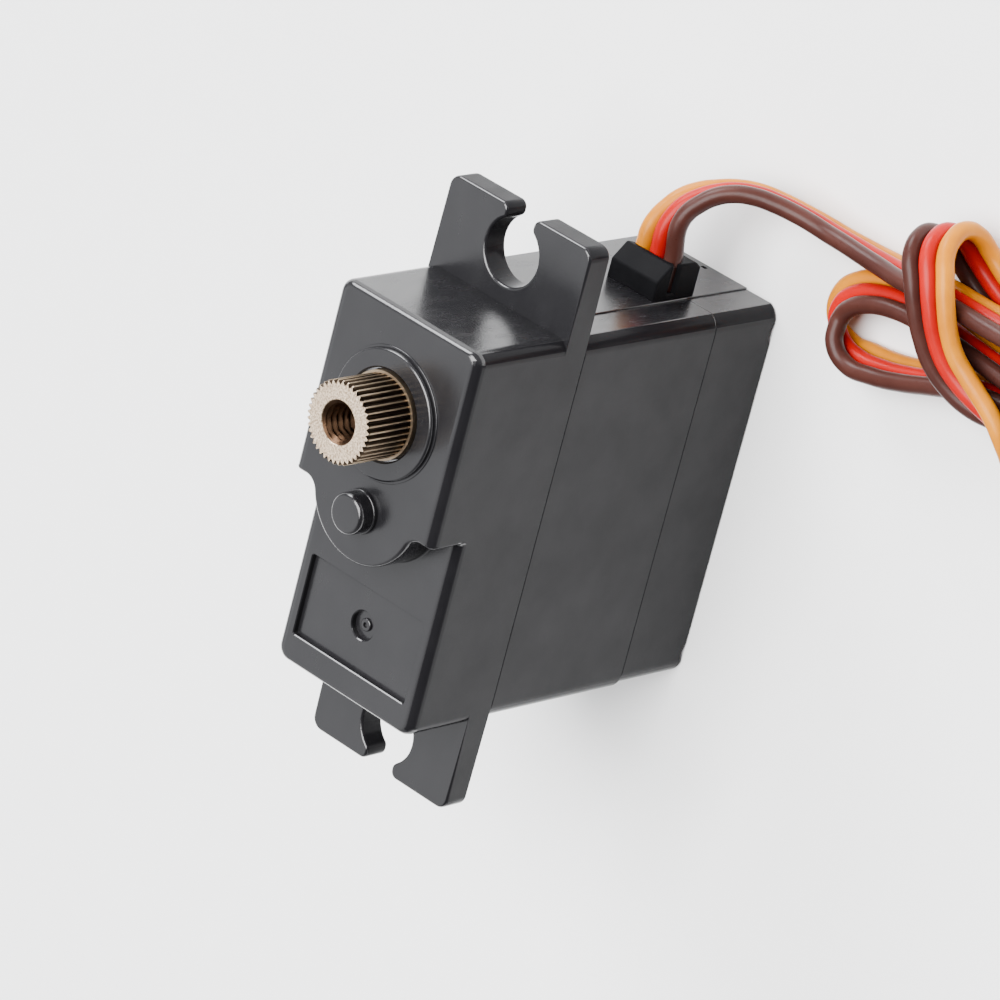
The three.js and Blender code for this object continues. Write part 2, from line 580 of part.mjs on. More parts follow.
function sensorWire(index) {
  const x = OUTPUT_X + (index - 2) * 2;
  const places = [
    [x, -2.6, SENSOR.bottom - 0.05],
    [x, -2.8, 10.0],
    [x + 0.3, -3.4, 7.0],
    [x + 0.2, -3.7, 5.0],
    [x, -3.7, BOARD.top + 0.05],
  ];
  return tube(places, 0.7, 6, 6);
}

// ---------------------------------------------------------------- lead
// The points of one wire, beside the middle wire by a number of pitches.
function wirePoints(route, offset) {
  const centres = route.map(([x, y, z]) => new THREE.Vector3(x, y, z));
  const path = new THREE.CatmullRomCurve3(centres, false, 'centripetal');
  return route.map(([, , , azimuth, dip, pitch], i) => {
    const turn = THREE.MathUtils.degToRad(azimuth);
    const tilt = THREE.MathUtils.degToRad(dip);
    const level = Math.cos(tilt);
    const aside = new THREE.Vector3(Math.cos(turn) * level, Math.sin(turn) * level, -Math.sin(tilt));
    aside.projectOnPlane(tangentAt(centres, i, path)).normalize();
    return centres[i].clone().addScaledVector(aside, offset * pitch).toArray();
  });
}

function tangentAt(centres, i, path) {
  if (i === 0) return path.getTangent(0);
  if (i === centres.length - 1) return path.getTangent(1);
  return new THREE.Vector3().subVectors(centres[i + 1], centres[i - 1]).normalize();
}

const leadWire = (route, offset, steps) => tube(wirePoints(route, offset), WIRE.diameter, WIRE.sides, steps);

// The wire's inner end: through the strain relief and down to the board.
function innerWire(offset) {
  const y = RELIEF.y + offset * WIRE.pitch;
  const places = [
    [RELIEF.front - 0.3, y, RELIEF.z],
    [11.5, y, RELIEF.z],
    [10.2, y, 6.6],
    [9.0, y, 5.4],
    [8.6, y, BOARD.top + 0.05],
  ];
  return tube(places, WIRE.diameter - 0.1, WIRE.sides, 7);
}

// Rubber block with a chamfered front, a neck in the case's slot and a flange inside.
function strainRelief() {
  const { y, z, halfWidth, front, bottom, top } = RELIEF;
  const face = CASE.halfLength + 0.02;
  const side = polygon([
    [face, bottom],
    [front - 0.35, bottom],
    [front, bottom + 0.5],
    [front, top - 1.05],
    [front - 1.0, top],
    [face, top],
  ]);
  const block = slab(side, -halfWidth, halfWidth).rotate([90, 0, 0]).translate([0, y, 0]);
  const neckHalf = SLOT.halfWidth - 0.05;
  const inside = CASE.halfLength - CASE.wall - 0.05;
  const neck = box(inside - 0.1, face + 0.1, y - neckHalf, y + neckHalf, SLOT.bottom + 0.03, SLOT.top - 0.05);
  const flange = box(inside - 0.9, inside, y - halfWidth - 0.1, y + halfWidth + 0.1, bottom + 0.2, top - 0.2);
  const reach = WIRE.pitch + WIRE.diameter / 2 + 0.02;
  const high = WIRE.diameter / 2 + 0.02;
  const passage = box(inside - 2, front + 2, y - reach, y + reach, z - high, z + high);
  const notches = [1, -1].map((side) => {
    const edge = y + side * halfWidth;
    const wedge = polygon([
      [edge - side * NOTCH.depth, NOTCH.z],
      [edge + side * 0.3, NOTCH.z - NOTCH.halfHeight],
      [edge + side * 0.3, NOTCH.z + NOTCH.halfHeight],
    ]);
    return solidAlongX(wedge, face + 0.3, front + 2);
  });
  return cut(join(block, neck, flange), passage, ...notches);
}

// An outline of (y, z) points swept along X.
function solidAlongX(outline, x0, x1) {
  return slab(outline, x0, x1).rotate([90, 0, 90]);
}

function leadHank() {
  const outline = new THREE.Shape();
  outline.absarc(HANK.x, HANK.near, HANK.radius, 0, Math.PI, false);
  outline.absarc(HANK.x, HANK.far, HANK.radius, Math.PI, Math.PI * 2, false);
  return slab(outline, 0, HANK.height, 8);
}

const contactX = (index) => PLUG.x + (index - 2) * PLUG.pitch;
const plugFar = PLUG.near - PLUG.length;

function connectorHousing() {
  const { x, near, width, height, cell } = PLUG;
  const outline = roundedRect(x - width / 2, x + width / 2, plugFar, near, 0.3);
  const low = (height - cell) / 2;
  const cells = [1, 2, 3].map((i) =>
    box(contactX(i) - cell / 2, contactX(i) + cell / 2, plugFar - 1, near + 1, low, low + cell),
  );
  const { from, to, halfWidth } = PLUG_WINDOW;
  const windows = [1, 2, 3].map((i) =>
    box(contactX(i) - halfWidth, contactX(i) + halfWidth, near + from, near + to, low + 1, height + 1),
  );
  return cut(slab(outline, 0, height, 3), ...cells, ...windows);
}

function connectorContact(index) {
  const x = contactX(index);
  const middle = PLUG.height / 2;
  const outer = PLUG.cell / 2 - 0.1;
  const inner = outer - 0.25;
  const sleeve = box(x - outer, x + outer, plugFar + 0.6, PLUG.near - 2.5, middle - outer, middle + outer);
  return cut(sleeve, box(x - inner, x + inner, plugFar, PLUG.near - 6, middle - inner, middle + inner));
}

// ---------------------------------------------------------------- the assembly
const material = (color, roughness, metalness = 0) =>
  new THREE.MeshStandardMaterial({ color, roughness, metalness });
const looks = {
  blackPlastic: material(0x26262a, 0.45),
  deepPlastic: material(0x2a2a2e, 0.6),
  screwSteel: material(0x3a3a3c, 0.4, 1),
  polishedSteel: material(0xb8babd, 0.25, 1),
  canSteel: material(0x9fa3a6, 0.35, 1),
  coreSteel: material(0x6d6f72, 0.5, 1),
  brass: material(0xc8a24a, 0.35, 1),
  gearBronze: material(0xb09a80, 0.4, 1),
  copper: material(0xb5622c, 0.35, 1),
  magnet: material(0x3c3c40, 0.6),
  carbon: material(0x2c2c2c, 0.8),
  white: material(0xd9d6cc, 0.6),
  board: material(0x1f5a38, 0.5),
  chip: material(0x18181a, 0.55),
  capacitor: material(0xc2953a, 0.5),
  rubber: material(0x222226, 0.7),
  orange: material(0xf5a01c, 0.45),
  red: material(0xd8332c, 0.45),
  brown: material(0x62403a, 0.45),
};

const servo = new THREE.Group();
function add(name, body, look) {
  const mesh = new THREE.Mesh(geometryOf(body), looks[look]);
  mesh.name = name;
  servo.add(mesh);
}

// Case.
add('upper_case', upperCase(), 'blackPlastic');
add('middle_case', middleCase(), 'blackPlastic');
add('bottom_cover', bottomCover(), 'blackPlastic');
screwPlaces.forEach(([x, y], i) => add(`case_screw_${i + 1}`, caseScrew(x, y), 'screwSteel'));

// Gear train.
add('idler_axle', idlerAxle(), 'polishedSteel');
add('gear_1', gear1(), 'brass');
add('gear_2', gear2(), 'gearBronze');
add('gear_3', gear3(), 'gearBronze');
add('output_gear', outputGear(), 'gearBronze');
const bearingRing = (inner, outer) => ring(OUTPUT_X, 0, inner, outer, BEARING.bottom, BEARING.top, 32);
add('bearing_outer_ring', bearingRing(BEARING.outerWall, BEARING.outer), 'polishedSteel');
add('bearing_inner_ring', bearingRing(BEARING.inner, BEARING.innerWall), 'polishedSteel');
add('bearing_ball_cage', ballCage(), 'polishedSteel');
const [bushInner, bushOuter] = [SENSOR.shaft + RUNNING_PLAY, DECK_HOLE - SEAT_PLAY];
add('deck_bush', ring(OUTPUT_X, 0, bushInner, bushOuter, Z.deckUnder, Z.deck + 0.1), 'brass');

// Motor.
add('motor_can', motorCan(), 'canSteel');
add('motor_end_cap', motorEndCap(), 'white');
const { radius: bushRadius, bottom: bushBottom, top: bushTop } = MOTOR_BUSH;
add('motor_bush', ring(MOTOR_X, 0, SHAFT_RADIUS + 0.04, bushRadius, bushBottom, bushTop, 16), 'brass');
[1, -1].forEach((side, i) => add(`motor_magnet_${i + 1}`, magnet(side), 'magnet'));
[1, -1].forEach((side, i) => add(`motor_brush_${i + 1}`, brush(side), 'carbon'));
[1, -1].forEach((side, i) => add(`motor_terminal_${i + 1}`, terminal(side, TERMINAL.radius), 'brass'));
const motorShaft = disc(MOTOR_X, 0, SHAFT_RADIUS, END_CAP.bottom + 0.1, LEVEL.pinion[1] + 0.1, 16);
add('motor_shaft', motorShaft, 'polishedSteel');
const pinionBore = disc(MOTOR_X, 0, SHAFT_RADIUS + 0.02, Z.deck, Z.earTop, 16);
add('motor_pinion', cut(gear(MOTOR_X, STAGE_1.pinion, STAGE_1.module, LEVEL.pinion), pinionBore), 'brass');
add('armature_core', armatureCore(), 'coreSteel');
[0, 1, 2].forEach((i) => add(`armature_coil_${i + 1}`, armatureCoil(i), 'copper'));
add('commutator', commutator(), 'copper');

// Position sensor.
add('sensor_housing', sensorHousing(), 'deepPlastic');
const baseRadius = SENSOR.radius - SENSOR.wall - 0.05;
add('sensor_base', disc(OUTPUT_X, 0, baseRadius, SENSOR.bottom, SENSOR.baseTop), 'white');
add('sensor_track', sensorTrack(), 'carbon');
add('sensor_wiper', sensorWiper(), 'brass');
const sensorShaft = disc(OUTPUT_X, 0, SENSOR.shaft, SENSOR.baseTop + 0.3, SENSOR.shaftTop, 16);
add('sensor_shaft', sensorShaft, 'polishedSteel');
[1, 2, 3].forEach((i) => add(`sensor_wire_${i}`, sensorWire(i), ['orange', 'red', 'brown'][i - 1]));

// Circuit board.
const { halfLength, halfWidth, corner, bottom, top } = BOARD;
const boardOutline = roundedRect(-halfLength, halfLength, -halfWidth, halfWidth, corner);
add('circuit_board', slab(boardOutline, bottom, top, 2), 'board');
for (const [name, [x0, x1, y0, y1, height]] of Object.entries(BOARD_PIECES)) {
  add(name, box(x0, x1, y0, y1, top + 0.02, top + height), name === 'board_capacitor' ? 'capacitor' : 'chip');
}

// Lead.
add('strain_relief', strainRelief(), 'rubber');
const wires = [['signal', 1, 'orange'], ['power', 0, 'red'], ['ground', -1, 'brown']];
wires.forEach(([name, offset, look]) => add(`${name}_wire_inner`, innerWire(offset), look));
wires.forEach(([name, offset, look]) => add(`${name}_wire`, leadWire(LEAD_ROUTE, offset, 16), look));
add('lead_hank', leadHank(), 'brown');
wires.forEach(([name, offset, look]) => add(`${name}_wire_tail`, leadWire(TAIL_ROUTE, offset, 5), look));
add('connector_housing', connectorHousing(), 'deepPlastic');
[1, 2, 3].forEach((i) => add(`connector_contact_${i}`, connectorContact(i), 'brass'));

export default servo;
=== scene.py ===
import math

import bmesh
import bpy
from mathutils import Matrix, Vector


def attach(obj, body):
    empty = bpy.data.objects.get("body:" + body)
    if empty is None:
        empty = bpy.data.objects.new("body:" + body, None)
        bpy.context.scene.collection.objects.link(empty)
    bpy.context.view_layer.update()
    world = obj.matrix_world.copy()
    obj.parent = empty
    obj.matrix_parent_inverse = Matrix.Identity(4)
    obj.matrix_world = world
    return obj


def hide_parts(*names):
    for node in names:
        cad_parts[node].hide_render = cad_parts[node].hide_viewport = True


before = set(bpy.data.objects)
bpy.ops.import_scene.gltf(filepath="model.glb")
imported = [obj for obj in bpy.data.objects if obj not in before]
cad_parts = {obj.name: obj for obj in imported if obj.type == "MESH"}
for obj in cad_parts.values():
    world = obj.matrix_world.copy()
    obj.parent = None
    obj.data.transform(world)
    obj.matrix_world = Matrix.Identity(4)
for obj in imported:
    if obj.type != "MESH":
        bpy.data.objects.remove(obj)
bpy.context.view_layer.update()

# Lengths are in millimetres up to the point where a mesh or a curve is made.
MM = 0.001
ARC = 10  # facets in a quarter circle of the visible outlines

# ---------------------------------------------------------------- sizes
# The outer shapes repeat the CAD's own sizes. Z gives heights above the base, and "x" and "y" give
# distances from the middle of the case.
CASE = {"x": 13.05, "y": 6.0, "corner": 1.2, "upper_corner": 0.9, "wall": 0.9, "motor_x": 12.85}
Z = {"floor": 1.0, "cover": 5.8, "deck_under": 16.65, "deck": 17.85, "ear_bottom": 17.9, "ear_top": 19.75,
     "roof": 24.98, "tower": 27.5, "boss": 27.9, "bump": 28.85, "spline": 28.05, "tip": 31.6}
EAR = {"tip": 19.0, "corner": 0.8, "slot_x": 16.3, "slot_r": 2.14, "mouth": 1.1, "lobe": 0.5}
# Widths of the rounded edges. The long edges of both roofs add "roof_long" to "roof".
ROUNDING = {"seam": 0.045, "foot": 0.18, "deck": 0.06, "ear": 0.2, "ear_upright": 0.28, "upright": 0.25,
            "roof": 0.42, "roof_long": 0.33, "step": 0.3, "inner_corner": 0.12}
TOWER = {"step": 0.2, "bulge_x": 1.0, "bulge_r": 4.3, "fillet": 1.0, "boss_r": 4.09, "bump_r": 1.31}
ROOF_PANEL = {"x0": -11.1, "x1": -5.6, "half": 4.9, "corner": 0.15, "depth": 0.38, "rim": 0.09}
POCKET = {"x": -8.2, "radius": 0.94, "depth": 0.78, "ring": 0.42, "ring_height": 0.16, "ring_bore": 0.16}
MOTOR_X = -5.75  # the axes of the motor, the idler axle and the output shaft
IDLER_X = 0.05
OUTPUT_X = 6.55
PANEL = {"edge": 3.2, "step": 0.1, "top": 17.25}  # raised middle of the end face by the lead
SCREW = {"x": 11.2, "y": 4.7, "bore": 1.28, "rim": 1.6, "rim_depth": 0.4, "seat": 1.55, "clear": 0.85,
         "hold": 0.8, "hold_top": 22.7}
SCREW_HEAD = {"radius": 1.25, "under": 0.45, "cross": 0.72, "cross_half": 0.14, "cross_top": 1.0}
SCREW_THREAD = {"root": 0.66, "crest": 0.75, "start": 1.4, "tip": 22.2, "pitch": 0.8}
BOARD_PAD = {"x": 7, "y": 4.2, "radius": 0.6, "top": 2.58}
# Small square hole low in the end face by the lead.
PIN_MARK = {"y0": -0.17, "y1": 0.23, "z0": 0.52, "z1": 0.82, "depth": 0.3}
GEAR_ROOM = {"wall": 0.8, "top": 23.95, "output_r": 5.19, "output_top": 24.75, "idler_r": 2.5,
             "idler_top": 24.95}
BUSH_HOLE = 1.6  # radius of the deck's holes for the motor bush and the sensor shaft's bush
AXLE_HOLE = {"radius": 0.78, "bottom": 16.95, "top": 28.25}
BEARING_SEAT = {"radius": 4.53, "top": 27.3, "lip": 2.86, "lip_rim": 2.98}
RELIEF = {"y": -1.0, "z": 6.95, "half": 2.0, "face": 13.07, "front": 15.3, "bottom": 5.0, "top": 8.85,
          "slot": 1.85, "slot_top": 8.1, "passage_y": 1.795, "passage_z": 0.595}
RELIEF_NECK = {"half": 1.8, "bottom": 5.83, "top": 8.05}
RELIEF_FLANGE = {"half": 2.1, "inner": 11.2, "outer": 12.1, "bottom": 5.2, "top": 8.65}
PLUG = {"x": 7.1, "near": -36.2, "far": -50.2, "width": 7.6, "height": 2.6, "pitch": 2.54, "cell": 1.5,
        "corner": 0.3, "edge": 0.12}
LATCH = {"half": 0.6, "far": 8.4, "near": 5.6}  # window over each contact, back from the wires' end
GROOVE = {"half": 0.35, "far": 5.2, "near": 0.9, "depth": 0.18}
WIRE = {"diameter": 1.15, "length": 196.0, "pitch": 1.2}


# ---------------------------------------------------------------- mesh code
def arc(x, y, radius, start, end, steps=ARC):
    angles = (math.radians(start + (end - start) * i / steps) for i in range(steps + 1))
    return [(x + radius * math.cos(a), y + radius * math.sin(a)) for a in angles]


def circle(x, y, radius, steps=4 * ARC):
    return arc(x, y, radius, 0, 360, steps)[:-1]


def rounded(x0, x1, y0, y1, radius, steps=ARC):
    a, b = x0 + radius, x1 - radius
    c, d = y0 + radius, y1 - radius
    return (arc(b, d, radius, 0, 90, steps) + arc(a, d, radius, 90, 180, steps)
            + arc(a, c, radius, 180, 270, steps) + arc(b, c, radius, 270, 360, steps))


def mesh_object(name, verts, faces):
    mesh = bpy.data.meshes.new(name)
    mesh.from_pydata([[c * MM for c in v] for v in verts], [], faces)
    edit = bmesh.new()
    edit.from_mesh(mesh)
    bmesh.ops.recalc_face_normals(edit, faces=edit.faces)
    edit.to_mesh(mesh)
    edit.free()
    piece = bpy.data.objects.new(name, mesh)
    bpy.context.scene.collection.objects.link(piece)
    return piece


def prism(outline, z0, z1, top=None):
    """A solid between two heights: an outline, and the same or another outline on top."""
    n = len(outline)
    verts = [(x, y, z0) for x, y in outline] + [(x, y, z1) for x, y in top or outline]
    sides = [(i, (i + 1) % n, n + (i + 1) % n, n + i) for i in range(n)]
    return mesh_object("tool", verts, [tuple(range(n)), tuple(range(n, 2 * n)), *sides])


def block(x0, x1, y0, y1, z0, z1):
    return prism([(x0, y0), (x1, y0), (x1, y1), (x0, y1)], z0, z1)


def disc(x, y, radius, z0, z1, top_radius=None, steps=4 * ARC):
    return prism(circle(x, y, radius, steps), z0, z1, circle(x, y, top_radius or radius, steps))


def along_x(outline, x0, x1):
    """A solid whose outline is in (y, z)."""
    piece = prism(outline, x0, x1)
    piece.data.transform(Matrix(((0, 0, 1, 0), (1, 0, 0, 0), (0, 1, 0, 0), (0, 0, 0, 1))))
    return piece


def along_y(outline, y0, y1):
    """A solid whose outline is in (x, z)."""
    piece = prism(outline, -y1, -y0)
    piece.data.transform(Matrix(((1, 0, 0, 0), (0, 0, -1, 0), (0, 1, 0, 0), (0, 0, 0, 1))))
    return piece


def apply_modifiers(piece):
    graph = bpy.context.evaluated_depsgraph_get()
    old = piece.data
    new = bpy.data.meshes.new_from_object(piece.evaluated_get(graph))
    piece.modifiers.clear()
    piece.data = new
    bpy.data.meshes.remove(old)


def combine(piece, operation, *tools):
    for tool in tools:
        modifier = piece.modifiers.new("combine", "BOOLEAN")
        modifier.operation = operation
        modifier.solver = "EXACT"
        modifier.object = tool
        apply_modifiers(piece)
        used = tool.data
        bpy.data.objects.remove(tool)
        bpy.data.meshes.remove(used)
    return piece


def join(piece, *tools):
    return combine(piece, "UNION", *tools)


def cut(piece, *tools):
    return combine(piece, "DIFFERENCE", *tools)


SHARP = math.radians(26)
FLAT = math.radians(0.4)


def round_edges(piece, rule, segments=4):
    """Rounds each sharp edge by the width in mm that rule(middle, side normal, convex) gives it."""
    edit = bmesh.new()
    edit.from_mesh(piece.data)
    bmesh.ops.remove_doubles(edit, verts=edit.verts, dist=0.002 * MM)
    bmesh.ops.dissolve_limit(edit, angle_limit=FLAT, verts=edit.verts, edges=edit.edges)
    weights = edit.edges.layers.float.new("bevel_weight_edge")
    widths = {}
    for edge in edit.edges:
        if len(edge.link_faces) == 2 and edge.calc_face_angle(0) > SHARP:
            middle = (edge.verts[0].co + edge.verts[1].co) / (2 * MM)
            normals = sorted((face.normal for face in edge.link_faces), key=lambda n: abs(n.z))
            width = rule(middle, normals[0], normals[1], edge.is_convex)
            if width:
                widths[edge] = width
    widest = max(widths.values(), default=1)
    for edge, width in widths.items():
        edge[weights] = width / widest
    edit.to_mesh(piece.data)
    edit.free()
    bevel = piece.modifiers.new("round", "BEVEL")
    bevel.limit_method = "WEIGHT"
    bevel.width = widest * MM
    bevel.segments = segments
    bevel.use_clamp_overlap = False
    bevel.miter_outer = "MITER_ARC"
    apply_modifiers(piece)
    return piece


def finish_piece(piece, name, body, slot, smooth=32):
    piece.name = name
    piece.data.name = name
    piece.data.materials.clear()
    piece.data.materials.append(looks[slot])
    for polygon in piece.data.polygons:
        polygon.use_smooth = True
        polygon.material_index = 0
    piece.data.set_sharp_from_angle(angle=math.radians(smooth))
    weighted = piece.modifiers.new("weighted normals", "WEIGHTED_NORMAL")
    weighted.keep_sharp = True
    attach(piece, body)


def finish_shell(shell, node):
    """Case shells have glossy tops and ends and satin long sides; the long edges, upright corners and ear slot
    walls get a copy with almost no sheen, a painted dark reflection.
    """
    finish_piece(shell, f"{node}_shell", "case", "case_plastic")
    for look in ("case_sides", "case_painted_dark_edges", "case_ends"):
        shell.data.materials.append(looks[look])
    square = 0.97  # a face counts as square to an axis from this part of its normal on
    for polygon in shell.data.polygons:
        x, y, z = (abs(part) for part in polygon.normal)
        out, side = abs(polygon.center.x) / MM, abs(polygon.center.y) / MM
        outer = side > CASE["y"] - 1
        upright_edge = outer and z < 0.1 and x > 0.3 and 0.45 < y < 0.93
        long_edge = outer and z > 0.2 and x < 0.3 and 0.25 < y < square
        ear_wall = out > CASE["x"] + 0.25 and z < 0.25
        if side > CASE["y"] - 0.1 and y > square:
            polygon.material_index = 1
        # These faces take the near-sheenless copy: painted dark reflection bands on the long edges, upright
        # corners and ear slot walls.
        elif upright_edge or long_edge or ear_wall:
            polygon.material_index = 2
        elif x > square:
            polygon.material_index = 3
    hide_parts(node)


# ---------------------------------------------------------------- camera
# Fitted to the photograph's straight case edges.
CAMERA_PLACE = Vector((153.681, -231.492, 309.579)) * MM
CAMERA_RIGHT = Vector((0.2360, -0.7004, -0.6736))
CAMERA_BACK = Vector((0.3816, -0.5707, 0.7271))
LENS_MM = 236.8
SENSOR_MM = 36.0


def make_camera():
    back = CAMERA_BACK.normalized()
    up = back.cross(CAMERA_RIGHT).normalized()
    right = up.cross(back)
    data = bpy.data.cameras.new("camera")
    data.lens = LENS_MM
    data.sensor_width = SENSOR_MM
    data.clip_start = 0.01
    data.clip_end = 50
    camera = bpy.data.objects.new("camera", data)
    turn = Matrix((right, up, back)).transposed().to_4x4()
    camera.matrix_world = Matrix.Translation(CAMERA_PLACE) @ turn
    bpy.context.scene.collection.objects.link(camera)
    bpy.context.scene.camera = camera


# ---------------------------------------------------------------- materials
class Nodes:
    """Short calls for the shader nodes that the looks and the sky share."""

    def __init__(self, tree):
        self.tree = tree

    def add(self, kind, **settings):
        node = self.tree.nodes.new(kind)
        for key, value in settings.items():
            setattr(node, key, value)
        return node

    def link(self, start, end):
        self.tree.links.new(start, end)

    def place(self):
        return self.add("ShaderNodeTexCoord").outputs["Object"]

    def noise(self, size, detail=3, stretch=(1, 1, 1), roughness=0.55):
        """Noise with features of about this size in mm."""
        mapping = self.add("ShaderNodeMapping")
        mapping.inputs["Scale"].default_value = stretch
        noise = self.add("ShaderNodeTexNoise")
        noise.inputs["Scale"].default_value = 1 / (size * MM)
        noise.inputs["Detail"].default_value = detail
        noise.inputs["Roughness"].default_value = roughness
        self.link(self.place(), mapping.inputs["Vector"])
        self.link(mapping.outputs["Vector"], noise.inputs["Vector"])
        return noise.outputs["Fac"]

    def ramp(self, value, *stops):
        ramp = self.add("ShaderNodeValToRGB")
        elements = ramp.color_ramp.elements
        while len(elements) < len(stops):
            elements.new(0.5)
        for element, (position, colour) in zip(elements, stops):
            element.position = position
            element.color = (*colour, 1) if isinstance(colour, tuple) else (colour, colour, colour, 1)
        self.link(value, ramp.inputs["Fac"])
        return ramp.outputs["Color"]

    def mix(self, factor, first, second):
        mix = self.add("ShaderNodeMix", data_type="RGBA")
        for socket, value in ((0, factor), (6, first), (7, second)):
            if isinstance(value, bpy.types.NodeSocket):
                self.link(value, mix.inputs[socket])
            elif socket:
                mix.inputs[socket].default_value = (*value, 1)
            else:
                mix.inputs[socket].default_value = value
        return mix.outputs[2]

    def math(self, operation, first, second=None):
        node = self.add("ShaderNodeMath", operation=operation)
        for socket, value in enumerate((first, second)):
            if isinstance(value, bpy.types.NodeSocket):
                self.link(value, node.inputs[socket])
            elif value is not None:
                node.inputs[socket].default_value = value
        return node.outputs[0]

    def split(self, vector):
        node = self.add("ShaderNodeSeparateXYZ")
        self.link(vector, node.inputs[0])
        return node.outputs

    def normal(self):
        """The surface's own direction, before any bump, in the object's frame."""
        turn = self.add("ShaderNodeVectorTransform", vector_type="NORMAL",
                        convert_from="WORLD", convert_to="OBJECT")
        self.link(self.add("ShaderNodeNewGeometry").outputs["Normal"], turn.inputs[0])
        return self.split(turn.outputs[0])


class Look(Nodes):
    """A new material, with the nodes that feed its Principled shader."""

    def __init__(self, name, **values):
        self.material = bpy.data.materials.new(name + "_look")
        self.material.use_nodes = True
        super().__init__(self.material.node_tree)
        self.shader = self.tree.nodes["Principled BSDF"]
        for socket, value in values.items():
            self.shader.inputs[socket.replace("_", " ")].default_value = value

    def bump(self, *layers):
        """Stacks (height socket, strength, depth in mm) layers into the shader's normal."""
        last = None
        for height, strength, depth in layers:
            bump = self.add("ShaderNodeBump")
            bump.inputs["Strength"].default_value = strength
            bump.inputs["Distance"].default_value = depth * MM
            self.link(height, bump.inputs["Height"])
            if last:
                self.link(last, bump.inputs["Normal"])
            last = bump.outputs["Normal"]
        self.link(last, self.shader.inputs["Normal"])

    def to(self, socket, value):
        self.link(value, self.shader.inputs[socket])


def case_plastic(name, specular, low, high):
    """Moulded nylon. The roughness runs between low and high, and drops on rounded edges."""
    n = Look(name, Specular_IOR_Level=specular)
    grain = n.noise(0.11, detail=2)
    cloud = n.noise(4.0, detail=4)
    scuff = n.noise(0.9, detail=5, stretch=(0.35, 1, 0.35))
    tone = n.ramp(cloud, (0.3, 0.0), (0.75, 1.0))
    n.to("Base Color", n.mix(tone, (0.0068, 0.0066, 0.0076), (0.0100, 0.0097, 0.0108)))
    x, y, z = (n.math("ABSOLUTE", part) for part in n.normal())
    flat = n.ramp(n.math("MAXIMUM", n.math("MAXIMUM", x, y), z), (0.90, 0.0), (0.985, 1.0))
    n.to("Roughness", n.mix(flat, (0.15, 0.15, 0.15), n.ramp(scuff, (0.35, low), (0.72, high))))
    n.bump((grain, 0.6, 0.0075), (cloud, 0.3, 0.015))
    return n.material


def relief_rubber():
    n = Look("relief_rubber", Specular_IOR_Level=0.03)
    grain = n.noise(0.09, detail=3)
    cloud = n.noise(1.6, detail=4)
    n.to("Base Color", n.mix(cloud, (0.0035, 0.0035, 0.004), (0.0075, 0.0075, 0.0085)))
    n.to("Roughness", n.ramp(cloud, (0.3, 0.46), (0.7, 0.62)))
    n.bump((grain, 0.5, 0.008), (cloud, 0.4, 0.03))
    return n.material


def wire_coat(name, low, high):
    n = Look(name, Specular_IOR_Level=0.14)
    cloud = n.noise(2.2, detail=4)
    fine = n.noise(0.16, detail=3)
    n.to("Base Color", n.mix(n.ramp(cloud, (0.3, 0.0), (0.7, 1.0)), low, high))
    n.to("Roughness", n.ramp(fine, (0.3, 0.27), (0.75, 0.40)))
    n.bump((fine, 0.25, 0.006), (cloud, 0.5, 0.03))
    return n.material


def plastic(name, low, high, rough=0.45, grain=0.12):
    n = Look(name)
    fine = n.noise(grain, detail=3)
    cloud = n.noise(grain * 14, detail=4)
    n.to("Base Color", n.mix(cloud, low, high))
    n.to("Roughness", n.ramp(cloud, (0.3, rough - 0.06), (0.7, rough + 0.08)))
    n.bump((fine, 0.4, 0.006))
    return n.material


def metal(name, low, high, rough=0.3, grain=0.12, stretch=(1, 1, 1)):
    n = Look(name, Metallic=1.0)
    fine = n.noise(grain, detail=4, stretch=stretch)
    cloud = n.noise(grain * 12, detail=4)
    n.to("Base Color", n.mix(n.ramp(cloud, (0.3, 0.0), (0.7, 1.0)), low, high))
    n.to("Roughness", n.ramp(fine, (0.3, rough - 0.08), (0.7, rough + 0.12)))
    n.bump((fine, 0.35, 0.006))
    return n.material


def gear_bronze():
    """Sintered bronze: a pale sawn end face; on the spline, painted shade darkens the flanks and a painted
    highlight lightens the crests, and painted shade darkens the threaded bore.
    """
    n = Look("gear_bronze", Metallic=1.0)
    speck = n.noise(0.13, detail=5, roughness=0.7)
    cloud = n.noise(0.9, detail=4)
    x, y, z = n.split(n.place())
    across = n.math("SUBTRACT", x, OUTPUT_X * MM)
    radius = n.math("SQRT", n.math("ADD", n.math("MULTIPLY", across, across), n.math("MULTIPLY", y, y)))
    millimetres = n.math("MULTIPLY", radius, 1 / MM)
    scaled = n.math("SUBTRACT", millimetres, 2.0)
    # Lighter towards the crest radius: a painted highlight on the spline's crests and painted shade on its
    # flanks.
    crest = n.ramp(scaled, (0.555, 0.0), (0.598, 1.0))
    flank = n.mix(crest, (0.022, 0.015, 0.010), (0.36, 0.28, 0.195))
    flank = n.mix(n.ramp(cloud, (0.35, 0.0), (0.8, 0.4)), flank, (0.07, 0.05, 0.034))
    face = n.mix(n.ramp(speck, (0.40, 0.0), (0.60, 1.0)), (0.40, 0.275, 0.18), (0.92, 0.745, 0.55))
    # Near-black brown inside the threaded hole: painted shade in the bore.
    bore = n.math("LESS_THAN", millimetres, 1.36)
    end = n.math("GREATER_THAN", z, (Z["tip"] - 0.15) * MM)
    up = n.math("MULTIPLY", n.ramp(n.normal()[2], (0.55, 0.0), (0.9, 1.0)), end)
    colour = n.mix(up, flank, face)
    n.to("Base Color", n.mix(bore, colour, (0.075, 0.042, 0.024)))
    n.to("Roughness", n.ramp(speck, (0.3, 0.30), (0.75, 0.48)))
    n.bump((speck, 0.6, 0.012), (cloud, 0.3, 0.02))
    return n.material


